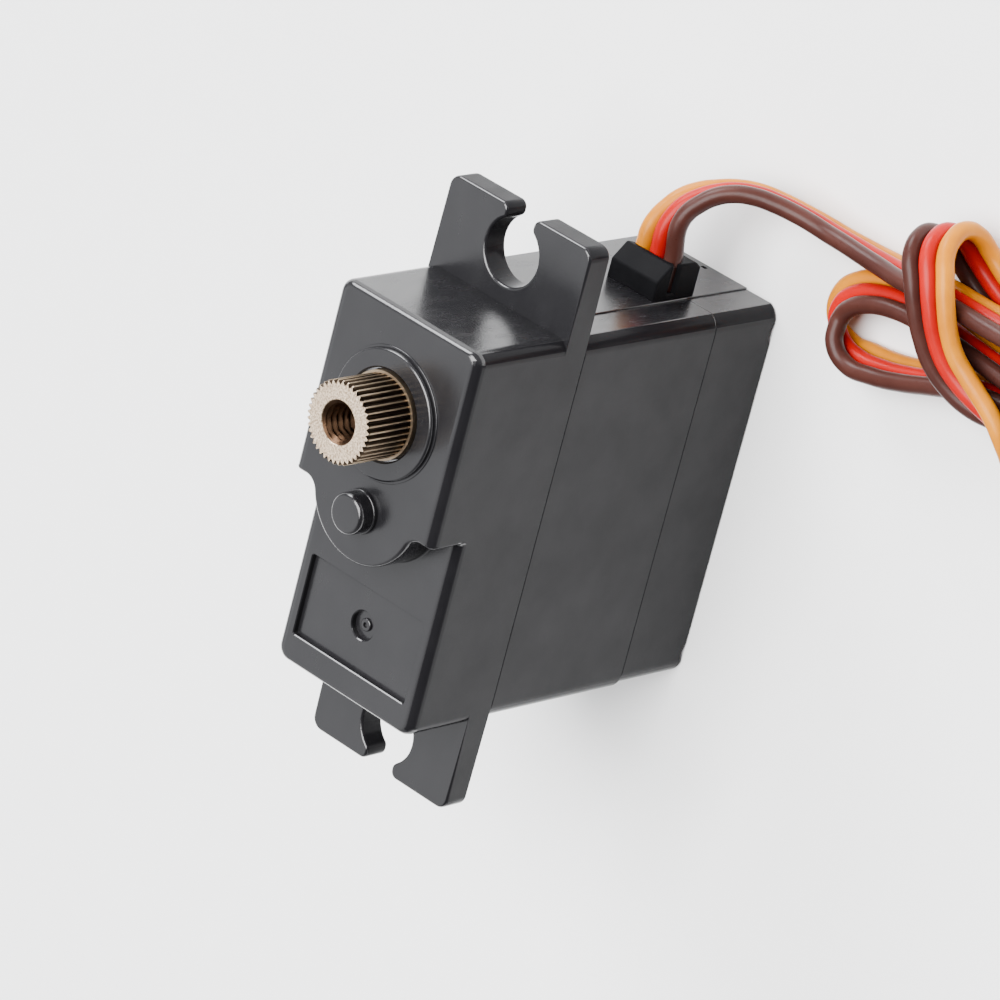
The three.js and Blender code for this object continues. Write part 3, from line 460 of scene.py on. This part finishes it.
def circuit_board():
    n = Look("board")
    weave = n.noise(0.25, detail=2, stretch=(1, 0.25, 1))
    cloud = n.noise(1.4, detail=4)
    tracks = n.add("ShaderNodeTexBrick")
    tracks.inputs["Scale"].default_value = 1 / (5 * MM)
    tracks.inputs["Mortar Size"].default_value = 0.03
    n.link(n.place(), tracks.inputs["Vector"])
    green = n.mix(weave, (0.006, 0.060, 0.024), (0.012, 0.105, 0.045))
    n.to("Base Color", n.mix(tracks.outputs["Fac"], green, (0.03, 0.20, 0.09)))
    n.to("Roughness", n.ramp(cloud, (0.3, 0.28), (0.7, 0.42)))
    n.bump((tracks.outputs["Fac"], 0.4, 0.03), (weave, 0.3, 0.01))
    return n.material


def copper_winding():
    n = Look("copper", Metallic=1.0)
    strands = n.add("ShaderNodeTexWave", wave_type="BANDS", bands_direction="Z")
    strands.inputs["Scale"].default_value = 1 / (0.55 * MM)
    n.link(n.place(), strands.inputs["Vector"])
    cloud = n.noise(0.8, detail=3)
    # The colour follows the bump's bands: painted shade in the grooves between the winding's turns and a
    # painted highlight on their tops.
    n.to("Base Color", n.mix(strands.outputs["Fac"], (0.30, 0.09, 0.03), (0.72, 0.28, 0.10)))
    n.to("Roughness", n.ramp(cloud, (0.3, 0.25), (0.7, 0.40)))
    n.bump((strands.outputs["Fac"], 0.6, 0.04))
    return n.material


looks = {
    "case_plastic": case_plastic("case_plastic", 0.52, 0.20, 0.28),
    "case_sides": case_plastic("case_sides", 0.12, 0.42, 0.50),
    # Specular level near zero: painted dark reflection on the case's long edges, upright corners and ear slot
    # walls.
    "case_painted_dark_edges": case_plastic("case_painted_dark_edges", 0.05, 0.30, 0.38),
    "case_ends": case_plastic("case_ends", 0.34, 0.22, 0.30),
    "relief_rubber": relief_rubber(),
    "gear_bronze": gear_bronze(),
    "wire_orange": wire_coat("wire_orange", (0.42, 0.13, 0.0), (0.52, 0.18, 0.0)),
    "wire_red": wire_coat("wire_red", (0.30, 0.0016, 0.0012), (0.38, 0.003, 0.0024)),
    "wire_brown": wire_coat("wire_brown", (0.035, 0.0105, 0.008), (0.050, 0.0165, 0.0125)),
    "screw_steel": metal("screw_steel", (0.045, 0.045, 0.048), (0.11, 0.11, 0.115), 0.34),
    "polished_steel": metal("polished_steel", (0.50, 0.50, 0.51), (0.64, 0.64, 0.65), 0.2, 0.3, (1, 1, 0.2)),
    "can_steel": metal("can_steel", (0.33, 0.34, 0.35), (0.46, 0.47, 0.48), 0.34, 0.4, (1, 1, 0.15)),
    "core_steel": metal("core_steel", (0.14, 0.145, 0.15), (0.22, 0.225, 0.23), 0.45, 0.3, (0.2, 0.2, 2)),
    "brass": metal("brass", (0.55, 0.36, 0.11), (0.70, 0.49, 0.18), 0.28),
    "copper": copper_winding(),
    "magnet": plastic("magnet", (0.030, 0.030, 0.033), (0.055, 0.055, 0.058), 0.6, 0.2),
    "carbon": plastic("carbon", (0.014, 0.014, 0.014), (0.032, 0.032, 0.032), 0.72, 0.15),
    "white_plastic": plastic("white_plastic", (0.60, 0.585, 0.54), (0.72, 0.705, 0.66), 0.5),
    "deep_plastic": plastic("deep_plastic", (0.012, 0.012, 0.013), (0.024, 0.024, 0.026), 0.5),
    "connector_plastic": plastic("connector_plastic", (0.010, 0.010, 0.011), (0.022, 0.022, 0.023), 0.4),
    "board": circuit_board(),
    "chip": plastic("chip", (0.012, 0.012, 0.013), (0.022, 0.022, 0.023), 0.5, 0.08),
    "capacitor": plastic("capacitor", (0.42, 0.22, 0.05), (0.56, 0.32, 0.09), 0.4),
}


# ---------------------------------------------------------------- lead
# Centre line of the middle wire in mm: (x, y, z, azimuth, dip). Azimuth and dip, in degrees, give the
# direction from the middle wire to the signal wire, which is WIRE["pitch"] away. Where the ribbon splits
# up towards the connector, each row ends with its own pitch.
LEAD_ROUTE = [
    (15.6, -1.0, 6.95, 90, 0), (16.35, -0.95, 6.95, 90, 5), (17.1, -0.95, 6.8, 88, 17),
    (17.8, -1.05, 6.5, 80, 32), (18.5, -1.3, 6.1, 66, 48), (19.15, -1.8, 5.55, 50, 64),
    (19.75, -2.55, 4.95, 32, 79), (20.2, -3.5, 4.25, 20, 90), (20.4, -4.7, 3.55, 10, 98),
    (20.35, -6.0, 2.95, 5, 103), (20.2, -7.4, 2.45, 2, 105), (20.05, -8.7, 2.12, 0, 105),
    (19.9, -10.0, 1.92, 0, 104), (19.85, -11.7, 1.88, 0, 102),
]
HANK_ROUTE = [
    (19.85, -13.2, 1.95, 0, 99), (19.95, -15.0, 2.15, 0, 95), (20.2, -16.9, 2.6, 0, 88),
    (20.4, -18.9, 2.95, 0, 88), (20.4, -21.2, 3.0, 0, 90), (20.3, -24.5, 3.0, 0, 90),
    (20.2, -28.0, 3.0, 0, 90), (20.2, -31.5, 3.0, 0, 90), (20.4, -35.0, 2.85, 0, 90),
    (20.9, -38.2, 2.2, 0, 90), (21.35, -41.0, 1.85, 0, 90), (21.4, -43.2, 1.8, 0, 90),
    (20.6, -45.0, 1.8, 0, 90), (19.1, -46.1, 1.8, 0, 90), (17.3, -46.2, 1.8, 0, 90),
    (15.7, -45.3, 1.8, 0, 90), (14.7, -43.7, 1.8, 0, 90), (14.7, -41.4, 1.8, 0, 90),
    (15.3, -38.0, 1.8, 0, 90), (16.2, -34.0, 1.8, 0, 90), (16.9, -29.8, 1.8, 0, 90),
    (17.35, -25.8, 1.8, 5, 90), (17.8, -22.0, 1.8, 25, 88), (18.15, -18.9, 1.8, 52, 76),
    (18.2, -16.5, 1.8, 66, 60), (17.8, -14.1, 1.8, 72, 46), (17.05, -12.5, 1.8, 72, 42),
    (15.95, -11.65, 1.8, 72, 42), (14.7, -11.75, 1.8, 72, 42),
    (13.75, -12.6, 1.75, 72, 43), (13.4, -13.95, 1.75, 72, 50),
    (13.6, -16.1, 1.78, 70, 62), (14.15, -18.3, 1.8, 60, 72),
    (14.85, -20.5, 1.8, 35, 80), (15.5, -22.9, 1.8, 10, 86), (15.85, -25.4, 1.8, 0, 90),
    (15.5, -29.2, 1.8, 0, 90), (14.8, -33.5, 1.8, 0, 90), (13.9, -37.8, 1.8, 0, 90),
    (13.35, -41.2, 1.8, 0, 90), (13.4, -43.8, 1.8, 0, 90), (14.4, -46.0, 1.8, 0, 90),
    (16.2, -47.35, 1.8, 0, 90), (18.3, -47.7, 1.8, 0, 90), (20.4, -47.0, 1.8, 0, 90),
    (22.0, -45.5, 1.8, 0, 90), (22.75, -43.3, 1.8, 0, 90), (22.7, -40.6, 1.8, 0, 90),
    (22.5, -37.6, 1.75, 0, 84), (22.5, -34.8, 1.67, 0, 65), (22.5, -32.2, 1.36, 0, 40),
    (22.3, -29.8, 0.9, -5, 15), (21.6, -27.6, 0.6, -10, 0), (20.8, -25.4, 0.6, -15, 0),
    (20.6, -23.3, 0.62, -28, 0), (21.3, -21.5, 0.68, -42, -3),
    (22.5, -19.95, 1.1, -54, 4), (23.65, -19.15, 1.95, -61, 9),
    (24.2, -18.85, 3.15, -65, 12), (24.0, -18.95, 4.4, -66, 11),
    (23.15, -19.35, 5.3, -67, 8), (21.85, -20.1, 5.65, -67, 3),
    (20.3, -20.8, 5.65, -67, -2), (18.75, -21.5, 5.4, -65, -6),
    (17.45, -22.35, 5.05, -60, -9), (16.5, -23.45, 4.65, -45, -18),
    (15.85, -24.7, 4.35, -15, -35), (15.3, -26.2, 4.05, 10, -55),
    (14.55, -27.6, 3.45, 60, -70), (13.5, -28.7, 2.65, 115, -50),
    (12.6, -29.5, 1.85, 135, -22), (11.3, -30.1, 1.4, 143, -5),
]
TAIL_ROUTE = [
    (9.85, -30.9, 1.3, 145, 0, 1.25), (9.1, -32.0, 1.3, 147, 0, 1.35), (8.4, -33.1, 1.3, 150, 0, 1.65),
    (7.8, -34.2, 1.3, 155, 0, 2.1), (7.3, -35.1, 1.3, 166, 0, 2.45), (7.1, -35.9, 1.3, 180, 0, 2.54),
]
EXIT_ROW = (15.05, -1.0, 6.95, 90, 0)
CRIMP_ROWS = [(7.1, -37.0, 1.3, 180, 0, 2.54), (7.1, -38.4, 1.3, 180, 0, 2.54)]


def wire_points(rows, offset):
    """The points of the wire that lies this many pitches from the middle one, in mm."""
    centres = [Vector(row[:3]) for row in rows]
    last = len(rows) - 1
    points = []
    for i, (_, _, _, azimuth, dip, pitch) in enumerate(rows):
        along = (centres[min(i + 1, last)] - centres[max(i - 1, 0)]).normalized()
        turn, tilt = math.radians(azimuth), math.radians(dip)
        aside = Vector((math.cos(turn) * math.cos(tilt), math.sin(turn) * math.cos(tilt), -math.sin(tilt)))
        aside = (aside - aside.dot(along) * along).normalized()
        points.append(centres[i] + aside * offset * pitch)
    return points


def make_wire(name, offset, look):
    ribbon = [(*row, WIRE["pitch"]) for row in [EXIT_ROW] + LEAD_ROUTE + HANK_ROUTE]
    rows = ribbon + TAIL_ROUTE + CRIMP_ROWS
    points = wire_points(rows, offset)
    curve = bpy.data.curves.new(name, "CURVE")
    curve.dimensions = "3D"
    curve.bevel_depth = WIRE["diameter"] / 2 * MM
    curve.bevel_resolution = 7
    curve.resolution_u = 8
    curve.use_fill_caps = True
    spline = curve.splines.new("BEZIER")
    spline.bezier_points.add(len(points) - 1)
    for knot, point in zip(spline.bezier_points, points):
        knot.co = point * MM
        knot.handle_left_type = "AUTO"
        knot.handle_right_type = "AUTO"
    curve.materials.append(looks[look])
    wire = bpy.data.objects.new(name, curve)
    bpy.context.scene.collection.objects.link(wire)
    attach(wire, "case")
    return wire, points


def contact_x(index):
    return PLUG["x"] + (index - 2) * PLUG["pitch"]


def make_connector():
    """A flat three-way socket housing: wire cells right through, a latch window over each contact."""
    x, near, far, height = PLUG["x"], PLUG["near"], PLUG["far"], PLUG["height"]
    half, cell = PLUG["width"] / 2, PLUG["cell"]
    housing = prism(rounded(x - half, x + half, far, near, PLUG["corner"], 4), 0, height)
    round_edges(housing, lambda middle, side, top, convex: PLUG["edge"], 3)
    low = (height - cell) / 2
    for index in (1, 2, 3):
        middle = contact_x(index)
        cut(housing, block(middle - cell / 2, middle + cell / 2, far - 1, near + 1, low, low + cell))
        cut(housing, block(middle - LATCH["half"], middle + LATCH["half"], near - LATCH["far"],
                           near - LATCH["near"], low + 1, height + 1))
        cut(housing, block(middle - GROOVE["half"], middle + GROOVE["half"], near - GROOVE["far"],
                           near - GROOVE["near"], height - GROOVE["depth"], height + 1))
    finish_piece(housing, "connector_shell", "case", "connector_plastic")
    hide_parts("connector_housing")
    return housing


def make_lead():
    connector = make_connector()
    kinds = (("signal_lead", 1, "wire_orange", "signal"), ("power_lead", 0, "wire_red", "power"),
             ("ground_lead", -1, "wire_brown", "ground"))
    for name, offset, look, node in kinds:
        wire, points = make_wire(name, offset, look)
        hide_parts(f"{node}_wire", f"{node}_wire_tail", "lead_hank")


# ---------------------------------------------------------------- case
SCREW_PLACES = [(sx * SCREW["x"], sy * SCREW["y"]) for sx in (1, -1) for sy in (1, -1)]
POST = 1.3  # half width of the corner posts that carry the screws


def case_outline(motor_end=CASE["x"], corner=CASE["corner"]):
    return rounded(-motor_end, CASE["x"], -CASE["y"], CASE["y"], corner)


def room(wall, z0, z1):
    """The inside of the case: a rectangle without the four screw posts."""
    x, y = CASE["x"] - CASE["wall"], CASE["y"] - wall
    a, b = SCREW["x"] - POST, SCREW["y"] - POST
    quarter = [(x, b), (a, b), (a, y)]
    outline = (quarter + [(-p, q) for p, q in reversed(quarter)] + [(-p, -q) for p, q in quarter]
               + [(p, -q) for p, q in reversed(quarter)])
    return prism(outline, z0, z1)


def holes(radius, z0, z1, steps=24):
    return [disc(x, y, radius, z0, z1, steps=steps) for x, y in SCREW_PLACES]


def end_steps(z0, z1):
    x = CASE["x"] - PANEL["step"]
    return [block(x, x + 2, PANEL["edge"], 9, z0, z1), block(x, x + 2, -9, -PANEL["edge"], z0, z1)]


def cover_rule(middle, side, top, convex):
    """How far each edge of the bottom cover's outside is rounded, in mm."""
    if not convex:
        return 0
    return ROUNDING["foot"] if abs(top.z) > 0.9 and middle.z < 0.1 else ROUNDING["seam"]


def make_bottom_cover():
    shell = prism(case_outline(CASE["motor_x"]), 0, Z["cover"])
    cut(shell, *end_steps(-1, Z["cover"] + 1))
    round_edges(shell, cover_rule, 3)
    cut(shell, room(CASE["wall"], Z["floor"], Z["cover"] + 1))
    for x in (-BOARD_PAD["x"], BOARD_PAD["x"]):
        for y in (-BOARD_PAD["y"], BOARD_PAD["y"]):
            join(shell, disc(x, y, BOARD_PAD["radius"], Z["floor"] - 0.1, BOARD_PAD["top"], steps=16))
    cut(shell, *holes(SCREW["clear"], -1, Z["cover"] + 1), *holes(SCREW["bore"], -1, SCREW["seat"], 40))
    for x, y in SCREW_PLACES:
        cut(shell, disc(x, y, SCREW["rim"], -0.01, SCREW["rim_depth"], SCREW["bore"], 48))
    mark = PIN_MARK
    cut(shell, block(CASE["x"] - mark["depth"], CASE["x"] + 1, mark["y0"], mark["y1"], mark["z0"], mark["z1"]))
    finish_shell(shell, "bottom_cover")


def middle_rule(middle, side, top, convex):
    return ROUNDING["seam"] if convex else 0


def make_middle_case():
    shell = prism(case_outline(), Z["cover"], Z["deck"])
    cut(shell, *end_steps(Z["cover"] - 1, PANEL["top"]))
    round_edges(shell, middle_rule, 3)
    cut(shell, room(CASE["wall"], Z["cover"] - 1, Z["deck_under"]))
    cut(shell, *holes(SCREW["clear"], Z["cover"] - 1, Z["deck"] + 1))
    cut(shell, disc(MOTOR_X, 0, BUSH_HOLE, 16, 19), disc(OUTPUT_X, 0, BUSH_HOLE, 16, 19),
        disc(IDLER_X, 0, AXLE_HOLE["radius"], AXLE_HOLE["bottom"], 19))
    y, slot = RELIEF["y"], RELIEF["slot"]
    cut(shell, block(12, 14, y - slot, y + slot, Z["cover"] - 1, RELIEF["slot_top"]))
    finish_shell(shell, "middle_case")


def tower_outline():
    """Outline of the high roof: the output end, with a round bulge over the idler axle."""
    x, fillet = TOWER["step"], TOWER["fillet"]
    centre = x - fillet
    reach = TOWER["bulge_r"] + fillet
    side = math.sqrt(reach ** 2 - (TOWER["bulge_x"] - centre) ** 2)
    turn = math.degrees(math.atan2(side, TOWER["bulge_x"] - centre))
    half = CASE["y"]
    end = rounded(0, CASE["x"], -half, half, CASE["upper_corner"])
    upper = [p for p in end if p[0] > 6 and p[1] > 0]
    lower = [p for p in end if p[0] > 6 and p[1] < 0]
    left = ([(x, half)] + arc(centre, side, fillet, 0, -turn, 8)
            + arc(TOWER["bulge_x"], 0, TOWER["bulge_r"], 180 - turn, 180 + turn, 36)[1:-1]
            + arc(centre, -side, fillet, turn, 0, 8) + [(x, -half)])
    return upper + left + lower


def ear_slot(side):
    tip, mouth = EAR["tip"], EAR["mouth"]
    start = math.degrees(math.asin(mouth / EAR["slot_r"]))
    lobe = EAR["lobe"]
    wide = mouth + lobe
    outline = (arc(EAR["slot_x"], 0, EAR["slot_r"], start, 360 - start, 36)
               + arc(tip - lobe, -wide, lobe, 90, 0, 9) + [(tip + 1, -wide), (tip + 1, wide)]
               + arc(tip - lobe, wide, lobe, 0, -90, 9))
    if side < 0:
        outline = [(-x, y) for x, y in reversed(outline)]
    return prism(outline, Z["ear_bottom"] - 1, Z["ear_top"] + 1)


def upper_rule(middle, side, top, convex):
    """How far each edge of the upper case's outside is rounded, in mm."""
    x, y, z = middle
    if not convex:
        foot = abs(x) > 12 and abs(y) < 5 and abs(z - Z["ear_top"]) < 0.1
        step = abs(z - Z["roof"]) < 0.1 and x < 1
        return ROUNDING["foot"] if foot else ROUNDING["inner_corner"] if step else 0
    if z < Z["deck"] + 0.02:
        return ROUNDING["deck"]
    if z < Z["ear_top"] + 0.05 and abs(x) > CASE["x"] - 1.3:
        return ROUNDING["ear_upright"] if abs(top.z) < 0.5 else ROUNDING["ear"]
    if abs(z - Z["tower"]) < 0.02 and side.x < -0.3:
        return ROUNDING["step"]
    if abs(z - Z["roof"]) < 0.02 or abs(z - Z["tower"]) < 0.02:
        return ROUNDING["roof"] + ROUNDING["roof_long"] * abs(side.y)
    return ROUNDING["upright"]


def knob(x, y, radius, bottom, top, edge):
    """A short round boss with a rounded rim."""
    return round_edges(disc(x, y, radius, bottom, top, steps=72),
                       lambda middle, side, face, convex: edge if middle.z > top - 0.01 else 0, 4)


def cut_roof_panel(shell):
    """The sunk panel in the low roof, with a round pocket in it and a low ring in the pocket."""
    roof, panel, pocket = Z["roof"], ROOF_PANEL, POCKET
    x0, x1, half, corner, rim = (panel[key] for key in ("x0", "x1", "half", "corner", "rim"))
    outline = rounded(x0, x1, -half, half, corner, 4)
    flared = rounded(x0 - rim, x1 + rim, -half - rim, half + rim, corner + rim, 4)
    panel_floor, floor = roof - panel["depth"], roof - pocket["depth"]
    cut(shell, prism(outline, panel_floor, roof + 1), prism(outline, roof - 0.06, roof + 0.03, flared))
    x, radius = pocket["x"], pocket["radius"]
    ring = knob(x, 0, pocket["ring"], floor - 0.1, floor + pocket["ring_height"], 0.09)
    cut(ring, disc(x, 0, pocket["ring_bore"], floor + 0.02, roof, 0.24, 32))
    hollow = cut(disc(x, 0, radius, floor, roof + 1), ring)
    cut(shell, hollow, disc(x, 0, radius, panel_floor - 0.06, panel_floor + 0.01, radius + 0.07))


def make_upper_case():
    shell = prism(case_outline(corner=CASE["upper_corner"]), Z["deck"], Z["roof"])
    join(shell, prism(rounded(-EAR["tip"], EAR["tip"], -CASE["y"], CASE["y"], EAR["corner"]), Z["ear_bottom"],
                      Z["ear_top"]))
    join(shell, prism(tower_outline(), Z["ear_top"] + 1, Z["tower"]))
    cut(shell, ear_slot(1), ear_slot(-1))
    round_edges(shell, upper_rule)
    boss, bump, under = TOWER["boss_r"], TOWER["bump_r"], Z["tower"] - 0.1
    join(shell, knob(OUTPUT_X, 0, boss + 0.16, under, Z["tower"] + 0.07, 0.05),
         knob(OUTPUT_X, 0, boss, under, Z["boss"], 0.2))
    join(shell, knob(IDLER_X, 0, bump + 0.11, under, Z["tower"] + 0.3, 0.06),
         knob(IDLER_X, 0, bump, under, Z["bump"], 0.3))
    rooms, seat = GEAR_ROOM, BEARING_SEAT
    cut(shell, room(rooms["wall"], Z["deck"] - 1, rooms["top"]))
    cut(shell, disc(OUTPUT_X, 0, rooms["output_r"], Z["ear_top"], rooms["output_top"], steps=64),
        disc(IDLER_X, 0, rooms["idler_r"], 20, rooms["idler_top"]))
    cut(shell, disc(OUTPUT_X, 0, seat["radius"], 23, seat["top"], steps=48),
        disc(OUTPUT_X, 0, seat["lip"], 23, 29, steps=72),
        disc(OUTPUT_X, 0, seat["lip"], Z["boss"] - 0.1, Z["boss"] + 0.01, seat["lip_rim"], 72))
    cut(shell, disc(IDLER_X, 0, AXLE_HOLE["radius"], 20, AXLE_HOLE["top"], steps=24),
        *holes(SCREW["hold"], Z["deck"] - 1, SCREW["hold_top"], 16))
    cut_roof_panel(shell)
    finish_shell(shell, "upper_case")


def make_screws():
    """Pan heads with a cross recess, sunk in the bottom cover, and shanks with a coarse thread."""
    head, groove = SCREW_HEAD, SCREW_THREAD
    reach, half, depth = head["cross"], head["cross_half"], head["cross_top"]
    for index, (x, y) in enumerate(SCREW_PLACES):
        body = round_edges(disc(x, y, head["radius"], head["under"], SCREW["seat"], steps=40),
                           lambda middle, side, top, convex: 0.14 if middle.z < 0.6 else 0.04, 3)
        join(body, thread(x, y, groove["root"], groove["crest"], groove["start"], groove["tip"],
                          groove["pitch"], 20))
        cut(body, block(x - reach, x + reach, y - half, y + half, -0.5, depth),
            block(x - half, x + half, y - reach, y + reach, -0.5, depth))
        finish_piece(body, f"pan_head_screw_{index + 1}", "case", "screw_steel", 40)
        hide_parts(f"case_screw_{index + 1}")


# ---------------------------------------------------------------- output gear
PITCH_ANGLE = math.radians(20)
WHEEL = {"teeth": 29, "module": 0.325, "bottom": 23.0, "top": 24.5, "addendum": 0.92, "dedendum": 1.2}
SPLINE = {"teeth": 40, "crest": 2.6, "root": 2.37, "end_crest": 2.53, "end_root": 2.31, "chamfer": 0.08}
HORN_THREAD = {"root": 1.09, "crest": 1.3, "bottom": 25.4, "pitch": 0.5, "mouth": 1.42}


def thread(x, y, inner, outer, z0, z1, pitch, steps):
    """A closed round bar whose surface is a helical V groove between the two radii."""
    rows = math.ceil((z1 - z0) / pitch * 8)
    verts = []
    for row in range(rows + 1):
        z = z0 + (z1 - z0) * row / rows
        for i in range(steps):
            phase = ((z - z0) / pitch - i / steps) % 1
            radius = inner + (outer - inner) * (1 - abs(2 * phase - 1))
            angle = 2 * math.pi * i / steps
            verts.append((x + radius * math.cos(angle), y + radius * math.sin(angle), z))
    faces = [tuple(range(steps)), tuple(range(rows * steps, (rows + 1) * steps))]
    for row in range(rows):
        for i in range(steps):
            a, b = row * steps + i, row * steps + (i + 1) % steps
            faces += [(a, b, b + steps), (a, b + steps, a + steps)]
    return mesh_object("thread", verts, faces)


def wheel_outline(teeth, module):
    """An involute wheel's outline, as the part's own gears are drawn."""
    pitch = module * teeth / 2
    base = pitch * math.cos(PITCH_ANGLE)
    root, tip = pitch - WHEEL["dedendum"] * module, pitch + WHEEL["addendum"] * module

    def involute(angle):
        return math.tan(angle) - angle

    points = []
    for tooth in range(teeth):
        middle = 2 * math.pi * tooth / teeth
        flank = []
        for radius in (root, pitch - 0.5 * module, pitch, pitch + 0.5 * module, tip):
            lean = involute(math.acos(base / radius)) if radius > base else 0
            half = math.pi / (2 * teeth) - 0.09 * module / (2 * pitch) + involute(PITCH_ANGLE) - lean
            flank.append((radius, half))
        for radius, half in flank:
            points.append((OUTPUT_X + radius * math.cos(middle - half), radius * math.sin(middle - half)))
        for radius, half in reversed(flank):
            points.append((OUTPUT_X + radius * math.cos(middle + half), radius * math.sin(middle + half)))
    return points


def spline_outline(crest_radius, root_radius):
    """Sharp V teeth: a narrow crest, two straight flanks and a narrow root."""
    points = []
    step = 2 * math.pi / SPLINE["teeth"]
    corners = ((-0.09, crest_radius), (0.09, crest_radius), (0.45, root_radius), (0.55, root_radius))
    for tooth in range(SPLINE["teeth"]):
        for part, radius in corners:
            angle = (tooth + part) * step
            points.append((OUTPUT_X + radius * math.cos(angle), radius * math.sin(angle)))
    return points


def make_output_gear():
    tip, wheel, spline, hole = Z["tip"], WHEEL, SPLINE, HORN_THREAD
    gear = prism(wheel_outline(wheel["teeth"], wheel["module"]), wheel["bottom"], wheel["top"])
    join(gear, disc(OUTPUT_X, 0, 1.8, 22.75, 23.1), disc(OUTPUT_X, 0, 3.0, 24.4, 24.8))
    join(gear, disc(OUTPUT_X, 0, 2.75, 24.6, Z["spline"], steps=72))
    teeth = spline_outline(spline["crest"], spline["root"])
    end = spline_outline(spline["end_crest"], spline["end_root"])
    shoulder = tip - spline["chamfer"]
    join(gear, join(prism(teeth, Z["spline"] - 0.1, shoulder), prism(teeth, shoulder, tip, end)))
    cut(gear, thread(OUTPUT_X, 0, hole["root"], hole["crest"], hole["bottom"], tip + 0.6, hole["pitch"], 40))
    cut(gear, disc(OUTPUT_X, 0, 1.0, tip - 0.4, tip + 0.01, hole["mouth"], 48))
    cut(gear, disc(OUTPUT_X, 0, 1.03, 19, 24.35, steps=32))
    finish_piece(gear, "output_spline_gear", "output", "gear_bronze", 24)
    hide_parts("output_gear")


# ---------------------------------------------------------------- strain relief
def relief_rule(middle, side, top, convex):
    """How far each edge of the strain relief's outer block is rounded, in mm."""
    if not convex or middle.x < 13.2:
        return 0
    return 0.14 if abs(middle.y - RELIEF["y"]) > 1.9 or middle.z > 7.9 or middle.z < 5.6 else 0.06


def make_relief():
    y, z = RELIEF["y"], RELIEF["z"]
    face, front, low, high = RELIEF["face"], RELIEF["front"], RELIEF["bottom"], RELIEF["top"]
    profile = [(face, low), (front - 0.35, low), (front, low + 0.5), (front, high - 1.05), (front - 1.0, high),
               (face, high)]
    relief = along_y(profile, y - RELIEF["half"], y + RELIEF["half"])
    neck, flange = RELIEF_NECK, RELIEF_FLANGE
    join(relief, block(flange["outer"] - 0.1, face + 0.1, y - neck["half"], y + neck["half"],
                       neck["bottom"], neck["top"]))
    join(relief, block(flange["inner"], flange["outer"], y - flange["half"], y + flange["half"],
                       flange["bottom"], flange["top"]))
    for side in (-1, 1):
        edge = y + side * RELIEF["half"]
        notch = [(edge - side * 0.45, 7.3), (edge + side * 0.3, 6.7), (edge + side * 0.3, 7.9)]
        cut(relief, along_x(notch, face + 0.3, front + 2))
    round_edges(relief, relief_rule, 4)
    wide, tall = RELIEF["passage_y"], RELIEF["passage_z"]
    cut(relief, along_x(rounded(y - wide, y + wide, z - tall, z + tall, 0.55, 6), 10, 17))
    finish_piece(relief, "strain_relief_moulding", "case", "relief_rubber")
    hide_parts("strain_relief")


def paint_cad_nodes():
    """Gives each CAD node that is still shown, inside the case, its own procedural look."""
    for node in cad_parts.values():
        for slot in node.material_slots:
            slot.material = looks[slot.material.name]


# ---------------------------------------------------------------- room
OVERHEAD = {"place": Vector((0.30, -0.10, 1.10)), "size": 0.9, "power": 48}  # in m and W
# Soft patches of the sky, for what the case's faces mirror: (direction, width in degrees, strength).
ROOF_GLOW = ((-0.38, 0.57, 0.73), 46, 1.2)
EDGE_GLOW = ((0.73, 0.57, 0.38), 20, 24.0)
SHADE = ((-0.3, -0.62, 0.7), 60, 0.92)
SKY_LEVEL = 0.8
SKY_COLOUR = (0.93, 0.94, 0.96, 1)
FLOOR = {"reach": 1500, "thickness": 4}


def make_overhead_light():
    data = bpy.data.lights.new("overhead", "AREA")
    data.shape = "RECTANGLE"
    data.size = data.size_y = OVERHEAD["size"]
    data.energy = OVERHEAD["power"]
    light = bpy.data.objects.new("overhead", data)
    light.location = OVERHEAD["place"]
    light.rotation_euler = (-OVERHEAD["place"]).to_track_quat("-Z", "Y").to_euler()
    bpy.context.scene.collection.objects.link(light)


def sky_patch(n, direction, width, strength):
    """This strong towards a direction of the sky, falling smoothly to 0 this many degrees away."""
    dot = n.add("ShaderNodeVectorMath", operation="DOT_PRODUCT")
    n.link(n.add("ShaderNodeTexCoord").outputs["Generated"], dot.inputs[0])
    dot.inputs[1].default_value = Vector(direction).normalized()
    fade = n.add("ShaderNodeMapRange", interpolation_type="SMOOTHSTEP")
    fade.inputs["From Min"].default_value = math.cos(math.radians(width))
    fade.inputs["From Max"].default_value = math.cos(math.radians(width * 0.35))
    n.link(dot.outputs["Value"], fade.inputs["Value"])
    return n.math("MULTIPLY", fade.outputs["Result"], strength)


def make_sky():
    world = bpy.data.worlds.new("studio")
    world.use_nodes = True
    n = Nodes(world.node_tree)
    glow = n.math("ADD", sky_patch(n, *ROOF_GLOW), sky_patch(n, *EDGE_GLOW))
    shade = n.math("SUBTRACT", 1.0, sky_patch(n, *SHADE))
    level = n.math("ADD", glow, n.math("MULTIPLY", shade, SKY_LEVEL))
    background = world.node_tree.nodes["Background"]
    background.inputs["Color"].default_value = SKY_COLOUR
    n.link(level, background.inputs["Strength"])
    bpy.context.scene.world = world


def make_floor():
    """A wide pale sheet under the part."""
    reach = FLOOR["reach"]
    floor = block(-reach, reach, -reach, reach, -FLOOR["thickness"], 0)
    floor.name = "floor"
    paper = Look("paper")
    paper.to("Base Color", paper.mix(paper.noise(3.0), (0.90, 0.90, 0.90), (0.93, 0.93, 0.93)))
    paper.to("Roughness", paper.ramp(paper.noise(1.5), (0.3, 0.85), (0.7, 0.95)))
    paper.bump((paper.noise(0.8), 0.1, 0.02))
    floor.data.materials.append(paper.material)


# ---------------------------------------------------------------- everything, in order
paint_cad_nodes()
make_camera()
make_upper_case()
make_middle_case()
make_bottom_cover()
make_screws()
make_output_gear()
make_relief()
make_lead()
make_sky()
make_floor()
make_overhead_light()
